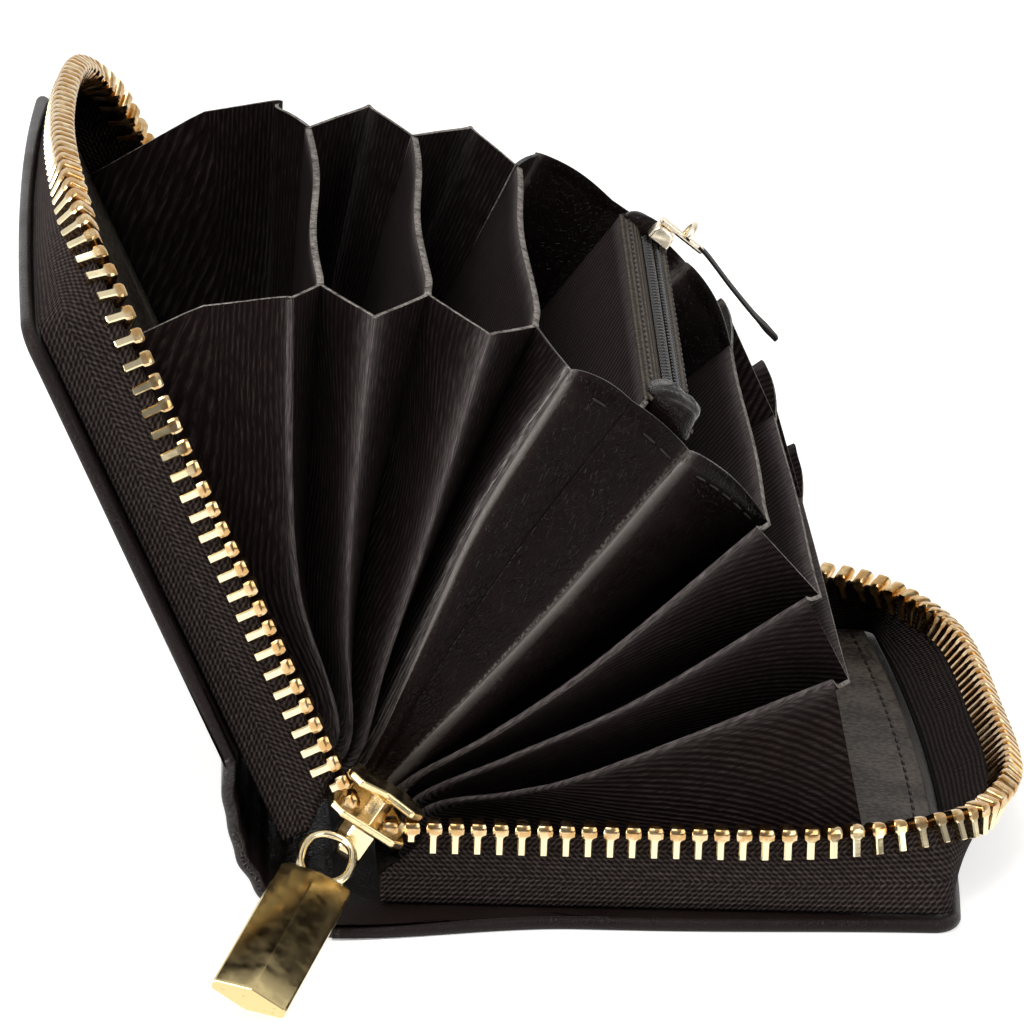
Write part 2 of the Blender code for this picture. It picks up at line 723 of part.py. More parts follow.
def slider_plan(length, front):
    """Outline of a slider plate: a wide mouth with cut corners and a narrower tail."""
    cut = SLIDER_HALF_WIDTH - SLIDER_TAIL_HALF
    end = front + length
    right = [(SLIDER_HALF_WIDTH - cut, front), (SLIDER_HALF_WIDTH, front + cut),
             (SLIDER_HALF_WIDTH, front + length / 2.0), (SLIDER_TAIL_HALF, end - cut / 2.0),
             (SLIDER_TAIL_HALF - cut / 2.0, end)]
    left = [(-a, y) for a, y in reversed(right)]
    return right + left


def tool(name, mesh_data):
    """Hidden helper solid for a Boolean."""
    made = finish(name, mesh_data, bpy.data.materials[0], HINGE)
    made.hide_render = True
    made.display_type = "WIRE"
    return made


def build_slider(looks):
    """Zip slider: outer and inner plates, the diamond post and four side flanges."""
    inside = SLIDER_INSIDE / 2.0
    outer = inside + SLIDER_PLATE
    mesh_data = bmesh.new()
    plan = slider_plan(SLIDER_LENGTH, SLIDER_FRONT)
    add_prism(mesh_data, [slider_place(a, y, -outer) for a, y in plan], MID_OUT * SLIDER_PLATE)
    body = finish("main_slider", mesh_data, looks["brass"], HINGE)

    pieces = []
    mesh_data = bmesh.new()
    plan = slider_plan(SLIDER_LENGTH - SLIDER_INNER_SHORT, SLIDER_FRONT + SLIDER_INNER_SHORT)
    add_prism(mesh_data, [slider_place(a, y, inside) for a, y in plan], MID_OUT * SLIDER_PLATE)
    pieces.append(mesh_data)

    mesh_data = bmesh.new()
    front = SLIDER_FRONT + SLIDER_INNER_SHORT
    diamond = ((0.0, front), (POST_HALF_WIDTH, front + POST_LENGTH / 2.0), (0.0, front + POST_LENGTH),
               (-POST_HALF_WIDTH, front + POST_LENGTH / 2.0))
    deep = inside + OVERRUN
    add_prism(mesh_data, [slider_place(a, y, -deep) for a, y in diamond], MID_OUT * (2.0 * deep))
    pieces.append(mesh_data)

    middle = SLIDER_FRONT + SLIDER_LENGTH / 2.0
    tail = SLIDER_FRONT + SLIDER_LENGTH - SLIDER_INNER_SHORT
    for sign in (-1.0, 1.0):
        for level in (-1.0, 1.0):
            outline = ((sign * SLIDER_HALF_WIDTH, middle), (sign * (SLIDER_HALF_WIDTH - FLANGE), middle),
                       (sign * (SLIDER_TAIL_HALF - FLANGE), tail), (sign * SLIDER_TAIL_HALF, tail))
            mesh_data = bmesh.new()
            base = level * (inside + OVERRUN)
            rise = -level * (FLANGE_DEPTH + OVERRUN)
            add_prism(mesh_data, [slider_place(a, y, base) for a, y in outline], MID_OUT * rise)
            pieces.append(mesh_data)
    for k, piece in enumerate(pieces):
        union = body.modifiers.new("join_%d" % k, "BOOLEAN")
        union.operation = "UNION"
        union.solver = "EXACT"
        union.object = tool("slider_tool_%d" % k, piece)


def build_mouth_teeth(looks):
    """The last tooth of either row, turned into the slider's channels beside the post."""
    start = SLIDER_FRONT + SLIDER_INNER_SHORT + POST_LENGTH / 2.0
    for cover, sign, lead in ((LOWER, 1.0, MOUTH_LEAD_LOWER), (UPPER, -1.0, MOUTH_LEAD_UPPER)):
        mesh_data = bmesh.new()
        up = (MID_ACROSS * (-sign * math.cos(MOUTH_TILT)) - AXIS_Y * math.sin(MOUTH_TILT)).normalized()
        across = -MID_OUT
        along = up.cross(across)
        tip = slider_place(sign * (POST_HALF_WIDTH + FIT_GAP), start - lead, 0.0)
        add_tooth(mesh_data, tip, along, across, up)
        finish("mouth_tooth_" + cover.name, mesh_data, looks["brass"], HINGE)


def puller_frame():
    """Pivot, length, width and thickness directions of the main puller."""
    inside = SLIDER_INSIDE / 2.0 + SLIDER_PLATE
    pivot = slider_place(0.0, -PULLER_PIVOT_BACK, -(inside + FIT_GAP + (CROWN_RISE - CROWN_THICK) / 2.0))
    out = PULLER_TIP.normalized()
    flat = direction(PULLER_ROLL)
    wide = (flat - out * flat.dot(out)).normalized()
    return pivot, out, wide, out.cross(wide)


def build_crown(looks):
    """Arched strap on the slider's outer plate that holds the puller's eye."""
    base = SLIDER_INSIDE / 2.0 + SLIDER_PLATE + FIT_GAP
    front = SLIDER_FRONT + FIT_GAP
    back = front + CROWN_LENGTH
    bend = CROWN_THICK
    outer = ((front, base), (front, base + CROWN_RISE - bend), (front + bend, base + CROWN_RISE),
             (back - bend, base + CROWN_RISE), (back, base + CROWN_RISE - bend), (back, base))
    inner = ((back - CROWN_THICK, base), (back - CROWN_THICK, base + CROWN_RISE - bend - CROWN_THICK / 2.0),
             (back - CROWN_THICK - bend / 2.0, base + CROWN_RISE - CROWN_THICK),
             (front + CROWN_THICK + bend / 2.0, base + CROWN_RISE - CROWN_THICK),
             (front + CROWN_THICK, base + CROWN_RISE - bend - CROWN_THICK / 2.0), (front + CROWN_THICK, base))
    outline = [slider_place(-CROWN_WIDTH / 2.0, y, -out) for y, out in outer + inner]
    mesh_data = bmesh.new()
    add_prism(mesh_data, outline, MID_ACROSS * CROWN_WIDTH)
    finish("slider_crown", mesh_data, looks["brass"], HINGE)


def build_puller(looks):
    """Puller: an eye round the crown, and a bar with a ridge along both faces."""
    pivot, out, wide, thick = puller_frame()

    def spot(r, a, t):
        return pivot + out * r + wide * a + thick * t

    body_start = PULLER_SHOULDER
    rings = []
    for r, width in ((body_start, PULLER_WIDTH), (PULLER_TIP.length, PULLER_TIP_WIDTH)):
        half = width / 2.0
        edge = PULLER_EDGE / 2.0
        ridge = PULLER_THICK / 2.0
        rings.append([spot(r, -half, -edge), spot(r, 0.0, -ridge), spot(r, half, -edge),
                      spot(r, half, edge), spot(r, 0.0, ridge), spot(r, -half, edge)])
    mesh_data = bmesh.new()
    add_loft(mesh_data, rings)
    body = finish("main_puller", mesh_data, looks["brass"], pivot)

    half = EYE_WIDTH / 2.0
    behind = EYE_BAR / 2.0
    corner = EYE_BAR
    plan = ((-behind, -half + corner), (-behind, half - corner), (-behind + corner, half), (body_start + OVERRUN, half),
            (body_start + OVERRUN, -half), (-behind + corner, -half))
    mesh_data = bmesh.new()
    add_prism(mesh_data, [spot(r, a, -EYE_THICK / 2.0) for r, a in plan], thick * EYE_THICK)
    eye = tool("puller_eye_tool", mesh_data)
    union = body.modifiers.new("eye", "BOOLEAN")
    union.operation = "UNION"
    union.solver = "EXACT"
    union.object = eye

    hole_half = EYE_HOLE_WIDTH / 2.0
    hole_end = behind + EYE_HOLE_LENGTH
    round_off = EYE_HOLE_LENGTH / 3.0
    hole = ((behind, -hole_half), (behind, hole_half), (hole_end - round_off, hole_half),
            (hole_end, hole_half - round_off), (hole_end, -hole_half + round_off), (hole_end - round_off, -hole_half))
    mesh_data = bmesh.new()
    add_prism(mesh_data, [spot(r, a, -PULLER_THICK) for r, a in hole], thick * (2.0 * PULLER_THICK))
    cut = body.modifiers.new("hole", "BOOLEAN")
    cut.operation = "DIFFERENCE"
    cut.solver = "EXACT"
    cut.object = tool("puller_hole_tool", mesh_data)


def build_stop(looks):
    """Metal stop that holds the two rows together behind the parked slider."""
    half = STOP_WIDTH / 2.0
    deep = STOP_DEPTH / 2.0
    near = SLIDER_FRONT + SLIDER_LENGTH + FIT_GAP
    outline = [slider_place(a, near, b)
               for a, b in ((-half, -deep), (half, -deep), (half, deep), (-half, deep))]
    mesh_data = bmesh.new()
    add_prism(mesh_data, outline, AXIS_Y * STOP_LENGTH)
    finish("zip_stop", mesh_data, looks["brass"], HINGE)


def main():
    """Build the wallet."""
    clear_scene()
    looks = {
        "leather": material("black_leather", (0.012, 0.010, 0.009), 0.38, 0.0),
        "lining": material("grained_lining", (0.045, 0.040, 0.036), 0.6, 0.0),
        "tape": material("woven_tape", (0.016, 0.014, 0.013), 0.85, 0.0),
        "fabric": material("pleat_fabric", (0.022, 0.019, 0.018), 0.8, 0.0),
        "brass": material("light_gold", (0.83, 0.68, 0.38), 0.25, 1.0),
        "nylon": material("nylon_coil", (0.03, 0.028, 0.027), 0.5, 0.0),
    }
    build_cover(LOWER, LOWER_START, looks)
    build_cover(UPPER, UPPER_START, looks)
    for cover in (LOWER, UPPER):
        build_lining(cover, looks)
        build_tape(cover, looks)
    build_teeth(LOWER, LOWER_FIRST_TOOTH, looks)
    build_teeth(UPPER, UPPER_FIRST_TOOTH, looks)
    build_spine(looks)
    build_dividers(looks)
    build_pocket(looks)
    build_coin_slider(looks)
    build_pleats(looks)
    build_slider(looks)
    build_mouth_teeth(looks)
    build_crown(looks)
    build_puller(looks)
    build_stop(looks)


main()
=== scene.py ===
"""Looks of a zip-around accordion wallet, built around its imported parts."""
import logging
import math
from dataclasses import dataclass, field
from enum import Enum
from functools import partial

import bmesh
import bpy
import numpy as np
from mathutils import Matrix


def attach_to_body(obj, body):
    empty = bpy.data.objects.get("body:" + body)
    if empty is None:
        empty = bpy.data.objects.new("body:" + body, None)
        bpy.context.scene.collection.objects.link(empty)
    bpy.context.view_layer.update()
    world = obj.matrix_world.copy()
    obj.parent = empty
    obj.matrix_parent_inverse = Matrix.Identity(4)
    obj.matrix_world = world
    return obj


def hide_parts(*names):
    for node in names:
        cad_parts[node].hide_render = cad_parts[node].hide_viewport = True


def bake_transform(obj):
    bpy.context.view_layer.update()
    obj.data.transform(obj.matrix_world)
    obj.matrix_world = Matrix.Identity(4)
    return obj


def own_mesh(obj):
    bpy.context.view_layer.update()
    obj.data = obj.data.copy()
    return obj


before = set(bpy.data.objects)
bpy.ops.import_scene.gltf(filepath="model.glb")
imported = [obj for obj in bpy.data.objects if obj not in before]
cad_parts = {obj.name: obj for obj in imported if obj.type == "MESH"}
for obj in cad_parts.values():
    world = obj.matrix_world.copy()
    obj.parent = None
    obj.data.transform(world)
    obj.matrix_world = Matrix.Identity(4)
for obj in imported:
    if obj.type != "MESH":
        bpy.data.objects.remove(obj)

Array = np.ndarray
Piece = bpy.types.Object
Tree = bpy.types.NodeTree
Socket = bpy.types.NodeSocket
Sockets = bpy.types.NodeInputs
WHITE = (1.0, 1.0, 1.0, 1.0)
MM = 0.001
SHARP_EDGE = math.radians(32)
ALONG_SPINE = np.array([0.0, 1.0, 0.0])
LOG = logging.getLogger("wallet")


class Slot(Enum):
    """Material slots of the record."""

    LEATHER = "black_leather"
    LINING = "grained_lining"
    TAPE = "woven_tape"
    CLOTH = "pleat_fabric"
    GOLD = "light_gold"
    NYLON = "nylon_coil"


# Small sums on whole arrays


def smooth(share: Array | float) -> Array:
    """Eased step from 0 to 1."""
    t = np.clip(share, 0.0, 1.0)
    return t * t * (3.0 - 2.0 * t)


def unit(vectors: Array) -> Array:
    """Vectors scaled to length 1 along the last axis."""
    return vectors / np.maximum(np.linalg.norm(vectors, axis=-1, keepdims=True), 1e-12)


def travelled(path: Array) -> Array:
    """Distance of each place from the first, along the path."""
    return np.concatenate([[0.0], np.cumsum(np.linalg.norm(np.diff(path, axis=0), axis=1))])


def places_at(line: Array, reach: Array, distance: Array) -> Array:
    """Places at distances along a line, given how far along it each of its points is."""
    return np.stack([np.interp(distance, reach, line[:, k]) for k in range(line.shape[1])], axis=-1)


def heading(angle: float) -> Array:
    """Unit vector at an angle in the plane across the spine."""
    return np.array([math.cos(angle), 0.0, math.sin(angle)])


def signed_power(value: Array, sharp: float) -> Array:
    """Power of the size, with the sign kept: below 1 it makes a round outline squarer."""
    return np.sign(value) * np.abs(value) ** sharp


def across_path(ahead: Array, side: Array, other: Array, turn: Array) -> Array:
    """Circles of radius 1 square to a path.

    Args:
        ahead: Directions of the path, for their count.
        side: Directions square to the path.
        other: Directions square to both.
        turn: Angles round each circle.

    Returns:
        Places, with one circle per row.
    """
    rows = len(ahead)
    return (np.cos(turn)[None, :, None] * side.reshape(rows, 1, 3)
            + np.sin(turn)[None, :, None] * other.reshape(rows, 1, 3))


def flowing(points: Array, count: int, power: float = 1.0) -> Array:
    """Smooth curve through points: piecewise cubics whose slopes are half the chord of the neighbours.

    Args:
        points: Points that the curve passes through, one per row.
        count: Number of places on the result.
        power: Above 1 the places crowd towards the first point.

    Returns:
        Array of count places.
    """
    points = np.asarray(points, float)
    slopes = np.gradient(points, axis=0)
    place = np.linspace(0.0, 1.0, count) ** power * (len(points) - 1.0)
    k = np.minimum(place.astype(int), len(points) - 2)
    t = (place - k)[:, None]
    return ((2 * t ** 3 - 3 * t ** 2 + 1) * points[k] + (t ** 3 - 2 * t ** 2 + t) * slopes[k]
            + (-2 * t ** 3 + 3 * t ** 2) * points[k + 1] + (t ** 3 - t ** 2) * slopes[k + 1])


def grid_quads(rows: int, cols: int, close_rows: bool = False, close_cols: bool = False) -> Array:
    """Quads that join neighbouring places of a grid, with either direction closed on itself.

    Args:
        rows: Number of rows.
        cols: Number of columns.
        close_rows: Whether the last row joins the first.
        close_cols: Whether the last column joins the first.

    Returns:
        Array of vertex numbers, four per quad.
    """
    i, j = np.meshgrid(np.arange(rows if close_rows else rows - 1),
                       np.arange(cols if close_cols else cols - 1), indexing="ij")
    i = i.ravel()
    j = j.ravel()
    up = (i + 1) % rows
    on = (j + 1) % cols
    return np.stack([i * cols + j, up * cols + j, up * cols + on, i * cols + on], axis=1)


def make_piece(name: str, verts: Array, faces: list, finish: "Finish", uv: Array | None = None,
               marks: dict | None = None, closed: bool = True) -> Piece:
    """Mesh object at the origin from whole arrays.

    Args:
        name: Name of the piece.
        verts: Places in metres, one per row.
        faces: Vertex numbers of each face.
        finish: Finish that dresses it.
        uv: Pattern coordinates of each vertex, in metres.
        marks: Named numbers per vertex that the finish reads.
        closed: Whether the mesh is a closed shell, whose faces are then turned outwards.

    Returns:
        The object.
    """
    mesh = bpy.data.meshes.new(name)
    mesh.from_pydata(np.asarray(verts, float).reshape(-1, 3).tolist(), [], [list(f) for f in faces])
    if closed:
        work = bmesh.new()
        work.from_mesh(mesh)
        bmesh.ops.recalc_face_normals(work, faces=work.faces[:])
        work.to_mesh(mesh)
        work.free()
    if uv is not None:
        loops = np.empty(len(mesh.loops), np.int32)
        mesh.loops.foreach_get("vertex_index", loops)
        layer = mesh.uv_layers.new(name="pattern")
        layer.data.foreach_set("uv", np.asarray(uv, np.float32).reshape(-1, 2)[loops].ravel())
    for key, values in (marks or {}).items():
        layer = mesh.attributes.new(key, "FLOAT", "POINT")
        layer.data.foreach_set("value", np.asarray(values, np.float32).ravel())
    mesh.materials.append(finish.material())
    mesh.shade_smooth()
    made = bpy.data.objects.new(name, mesh)
    bpy.context.scene.collection.objects.link(made)
    return made


def thicken(piece: Piece, thickness: float, rim: "Finish | None" = None) -> None:
    """Give a sheet its thickness, half to either side.

    Args:
        piece: The sheet.
        thickness: Its thickness.
        rim: Finish of the cut edge, where it has its own.
    """
    wall = piece.modifiers.new("thickness", "SOLIDIFY")
    wall.thickness = thickness
    wall.offset = 0.0
    wall.use_even_offset = False
    if rim is not None:
        piece.data.materials.append(rim.material())
        wall.material_offset_rim = len(piece.data.materials) - 1


def soften(piece: Piece, width: float, segments: int = 2) -> None:
    """Round the sharp edges of a piece.

    Args:
        piece: The piece.
        width: Width of each rounded edge.
        segments: Facets across it.
    """
    edge = piece.modifiers.new("rounded_edges", "BEVEL")
    edge.width = width
    edge.segments = segments
    edge.limit_method = "ANGLE"
    edge.angle_limit = SHARP_EDGE
    edge.harden_normals = True


def attach(piece: Piece, body: str, slot: Slot, *nodes: str) -> Piece:
    """Let a piece ride on a body and stand for its nodes.

    Args:
        piece: The piece.
        body: Body that carries it.
        slot: Its material slot; not used.
        nodes: Nodes that it stands for, if any.

    Returns:
        The same piece.
    """
    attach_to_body(piece, body)
    if nodes:
        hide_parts(*nodes)
    return piece


def prism(name: str, outline: Array, depth: Array, finish: "Finish", edge: float,
          segments: int = 2) -> Piece:
    """Flat outline carried along a depth vector, closed by its two faces, with rounded edges.

    Args:
        name: Name of the piece.
        outline: Corner places in metres.
        depth: Vector from one face to the other.
        finish: Finish that dresses it.
        edge: Radius of the rounded edges.
        segments: Facets across each rounded edge.

    Returns:
        The object.
    """
    outline = np.asarray(outline, float)
    count = len(outline)
    verts = np.concatenate([outline, outline + depth])
    faces = [list(range(count)), list(range(2 * count - 1, count - 1, -1))]
    faces += grid_quads(2, count, close_cols=True).tolist()
    made = make_piece(name, verts, faces, finish)
    soften(made, edge, segments)
    return made


def capped(rows: int, cols: int) -> list:
    """Faces of a closed shell of rings, with a flat cap at both ends."""
    caps = [list(range(cols)), list(range((rows - 1) * cols, rows * cols))]
    return grid_quads(rows, cols, close_cols=True).tolist() + caps


def loft(name: str, rings: Array, finish: "Finish", uv: Array | None = None) -> Piece:
    """Closed shell through rings of equal count.

    Args:
        name: Name of the piece.
        rings: Places, with one ring per row.
        finish: Finish that dresses it.
        uv: Pattern coordinates, laid out as the rings.

    Returns:
        The object.
    """
    return make_piece(name, rings, capped(*rings.shape[:2]), finish, uv)


def repeated(spots: int, faces: list, count: int) -> list:
    """Faces of many copies of one shape, laid out one after another."""
    return [[i + spots * k for i in face] for k in range(count) for face in faces]


def tube(path: Array, radius: float, sides: int, closed: bool = False) -> tuple[Array, list]:
    """Round tube along a path: circles square to the path, carried without twist about a fixed side vector.

    Args:
        path: Places along the middle of the tube.
        radius: Radius of the tube.
        sides: Number of sides.
        closed: Whether the path joins its own start.

    Returns:
        Vertices and faces.
    """
    step = np.roll(path, -1, axis=0) - np.roll(path, 1, axis=0) if closed else np.gradient(path, axis=0)
    ahead = unit(step)
    spread = np.linalg.svd(path - path.mean(0), full_matrices=False)[2][2]
    side = unit(np.cross(ahead, spread))
    other = np.cross(side, ahead)
    ring = across_path(ahead, side, other, np.linspace(0.0, math.tau, sides, endpoint=False)) * radius
    if closed:
        faces = grid_quads(len(path), sides, close_rows=True, close_cols=True).tolist()
    else:
        faces = capped(len(path), sides)
    return (path[:, None] + ring).reshape(-1, 3), faces


# Finishes


def linear(code: str) -> tuple[float, float, float, float]:
    """Linear colour of an sRGB hex value.

    Args:
        code: Six hex digits after a hash sign.

    Returns:
        Red, green, blue and an alpha of 1.
    """
    values = np.array([int(code[k:k + 2], 16) / 255.0 for k in (1, 3, 5)])
    values = np.where(values <= 0.04045, values / 12.92, ((values + 0.055) / 1.055) ** 2.4)
    return (*values.tolist(), 1.0)


def add_node(tree: Tree, kind: str, out: str | int = 0, settings: dict | None = None,
             inputs: dict | None = None) -> Socket:
    """Add a node with its settings and links.

    Args:
        tree: Node tree that it joins.
        kind: Type of node, without its usual first word.
        out: The output that is used.
        settings: Values of the node itself.
        inputs: For each input, a plain value or the socket that feeds it.

    Returns:
        The output socket.
    """
    made = tree.nodes.new("ShaderNode" + kind)
    for key, value in (settings or {}).items():
        setattr(made, key, value)
    for key, value in (inputs or {}).items():
        if isinstance(value, Socket):
            tree.links.new(value, made.inputs[key])
        else:
            made.inputs[key].default_value = value
    return made.outputs[out]


def ramp(tree: Tree, source: Socket, stops: list) -> Socket:
    """Colours that follow a value.

    Args:
        tree: Node tree.
        source: The value.
        stops: Pairs of a value and its hex colour.

    Returns:
        The colour.
    """
    made = add_node(tree, "ValToRGB", "Color", inputs={"Fac": source})
    band = made.node.color_ramp
    while len(band.elements) < len(stops):
        band.elements.new(0.5)
    for element, (place, code) in zip(band.elements, stops):
        element.position = place
        element.color = linear(code)
    return made


@dataclass(frozen=True)
class Finish:
    """Base of every finish: a Principled material, cached by its name.

    Attributes:
        name: The real material's name.
        roughness: Typical roughness.
        metallic: 1 for bare metal.
        specular: Specular level, set on the socket itself.
    """

    name: str
    roughness: float = 0.5
    metallic: float = 0.0
    specular: float = 0.5

    def material(self) -> bpy.types.Material:
        """The material, made on first use.

        Returns:
            The material of this name.
        """
        found = bpy.data.materials.get(self.name)
        if found is not None:
            return found
        made = bpy.data.materials.new(self.name)
        made.use_nodes = True
        shader = made.node_tree.nodes["Principled BSDF"]
        shader.inputs["Roughness"].default_value = self.roughness
        shader.inputs["Metallic"].default_value = self.metallic
        shader.inputs["Specular IOR Level"].default_value = self.specular
        self.dress(made.node_tree, shader.inputs)
        return made

    def dress(self, tree: Tree, sockets: Sockets) -> None:
        """Add the pattern nodes of this finish.

        Args:
            tree: Node tree of the material.
            sockets: Inputs of its shader.
        """
        raise NotImplementedError

    def uneven(self, tree: Tree, sockets: Sockets, source: Socket, band: tuple, spread: tuple) -> None:
        """Let the roughness follow a value.

        Args:
            tree: Node tree.
            sockets: Inputs of the shader.
            source: The value.
            band: Lowest and highest value that count.
            spread: What the roughness gains at either.
        """
        rough = add_node(tree, "MapRange", "Result", inputs={
            "Value": source, "From Min": band[0], "From Max": band[1],
            "To Min": self.roughness + spread[0], "To Max": self.roughness + spread[1]})
        tree.links.new(rough, sockets["Roughness"])

    def bump(self, tree: Tree, sockets: Sockets, height: Socket, depth: float, strength: float = 1.0) -> None:
        """Feed a height pattern to the shader's normal.

        Args:
            tree: Node tree.
            sockets: Inputs of the shader.
            height: The pattern.
            depth: Its height in metres.
            strength: Share of it that shows.
        """
        tree.links.new(add_node(tree, "Bump", "Normal", inputs={
            "Strength": strength, "Distance": depth, "Height": height}), sockets["Normal"])


@dataclass(frozen=True)
class PolishedLeather(Finish):
    """Chrome-tanned cowhide, dyed and plated smooth: fine pores, a soft shine and paler rubbed edges.

    Attributes:
        colour: Dye in the hollows.
        mottle: Dye where the hide took less of it.
        rubbed: Edges where the finish has worn.
        pore: Distance between pores in metres.
        crease: Height of the creases, 0 for none.
    """

    colour: str = "#140d0c"
    mottle: str = "#1c1413"
    rubbed: str = "#2e2725"
    pore: float = 0.0005
    crease: float = 0.0

    def dress(self, tree: Tree, sockets: Sockets) -> None:
        """Pores from small cells, cloudy shine from broad noise, and creases where they are asked for.

        Args:
            tree: Node tree of the material.
            sockets: Inputs of its shader.
        """
        add = partial(add_node, tree)
        place = add("TexCoord", "Object")
        cells = add("TexVoronoi", "Distance", {"feature": "DISTANCE_TO_EDGE"},
                    {"Vector": place, "Scale": 1.0 / self.pore})
        cloud = add("TexNoise", "Fac", inputs={"Vector": place, "Scale": 90.0, "Detail": 4.0})
        fine = add("TexNoise", "Fac", inputs={"Vector": place, "Scale": 2600.0, "Detail": 3.0})
        worn = add("MapRange", "Result", inputs={"Value": add("NewGeometry", "Pointiness"),
                                                 "From Min": 0.53, "From Max": 0.62})
        mottled = ramp(tree, cloud, [(0.3, self.colour), (0.75, self.mottle)])
        colour = add("Mix", 2, {"data_type": "RGBA"}, {"Factor": worn, 6: mottled, 7: linear(self.rubbed)})
        tree.links.new(colour, sockets["Base Color"])
        self.uneven(tree, sockets, cloud, (0.3, 0.7), (-0.06, 0.1))
        pores = add("MapRange", "Result", inputs={"Value": cells, "From Max": 0.12})
        height = add("Math", 0, {"operation": "MULTIPLY_ADD"}, {0: fine, 1: 0.35, 2: pores})
        if self.crease > 0.0:
            lines = add("TexWave", "Fac", {"wave_type": "BANDS", "bands_direction": "X"},
                        {"Vector": place, "Scale": 60.0, "Distortion": 9.0, "Detail": 4.0,
                        "Detail Scale": 6.0})
            height = add("Math", 0, {"operation": "MULTIPLY_ADD"}, {0: lines, 1: self.crease, 2: height})
        self.bump(tree, sockets, height, 0.00006, 0.6)


@dataclass(frozen=True)
class CrackledLeather(Finish):
    """Thin coated skiver leather, folded many times: fine slanting cracks with painted glints, and a paler
    roll on the folds that is rubbed leather and also a painted highlight.

    Attributes:
        colour: Coating.
        crack_glint_tone: Paler coating tone that paints glints along the cracks, and the middle tone of the
            roll.
        rubbed: Leather bared on the folds, which also stands for the painted highlight on the roll.
        thread: Pale thread in the seam mark, which also stands for a painted glint along the crease.
        lean: Slant of the cracks.
        cracks: Cracks per metre across and along them.
    """

    colour: str = "#110a0a"
    crack_glint_tone: str = "#231b1a"
    rubbed: str = "#7b7671"
    thread: str = "#c9c3b9"
    lean: float = 0.7
    cracks: tuple = (3000.0, 900.0, 1.0)

    def dress(self, tree: Tree, sockets: Sockets) -> None:
        """Cracks from stretched cells on the pattern map with painted glints in noise patches; the rubbed
        roll, also a painted highlight, and the seam, also a painted glint, from their marks.

        Args:
            tree: Node tree of the material.
            sockets: Inputs of its shader.
        """
        add = partial(add_node, tree)
        flat = add("UVMap", "UV", {"uv_map": "pattern"})
        place = add("Mapping", "Vector", inputs={"Vector": flat, "Rotation": (0.0, 0.0, self.lean),
                                                 "Scale": self.cracks})
        bend = add("TexNoise", "Color", inputs={"Vector": flat, "Scale": 420.0, "Detail": 3.0})
        bent = add("VectorMath", "Vector", {"operation": "MULTIPLY_ADD"},
                   {0: bend, 1: (1.6, 1.6, 0.0), 2: place})
        cells = add("TexVoronoi", "Distance", {"feature": "DISTANCE_TO_EDGE"}, {"Vector": bent, "Scale": 1.0})
        line = add("MapRange", "Result",
                   inputs={"Value": cells, "From Max": 0.1, "To Min": 1.0, "To Max": 0.0})
        # Worn mark: rubbed leather on the fold, which also paints the highlight along the rolled ridge.
        worn = add("Attribute", "Fac", {"attribute_name": "worn"})
        cloud = add("TexNoise", "Fac", inputs={"Vector": flat, "Scale": 200.0, "Detail": 5.0})
        # Painted glints: crack lines inside bright noise patches are lifted towards the paler tone.
        glint = add("MapRange", "Result", inputs={"Value": cloud, "From Min": 0.5, "From Max": 0.68})
        bright = add("Math", 0, {"operation": "MULTIPLY"}, {0: line, 1: glint})
        share = add("Math", 0, {"operation": "MULTIPLY_ADD", "use_clamp": True}, {0: bright, 1: 0.3, 2: worn})
        colour = ramp(tree, share, [(0.0, self.colour), (0.4, self.crack_glint_tone), (1.0, self.rubbed)])
        # Seam mark: pale thread dashes, which also paint a glint along the crease.
        seam = add("Attribute", "Fac", {"attribute_name": "seam"})
        sparkle = add("TexNoise", "Fac", inputs={"Vector": flat, "Scale": 2300.0, "Detail": 3.0})
        lit = add("MapRange", "Result", inputs={"Value": sparkle, "From Min": 0.42, "From Max": 0.6})
        seam = add("Math", 0, {"operation": "MULTIPLY", "use_clamp": True}, {0: seam, 1: lit})
        colour = add("Mix", 2, {"data_type": "RGBA"}, {"Factor": seam, 6: colour, 7: linear(self.thread)})
        tree.links.new(colour, sockets["Base Color"])
        self.uneven(tree, sockets, cloud, (0.35, 0.65), (-0.12, 0.14))
        height = add("Math", 0, {"operation": "MULTIPLY_ADD"}, {0: line, 1: -0.6, 2: cloud})
        self.bump(tree, sockets, height, 0.00016, 0.7)


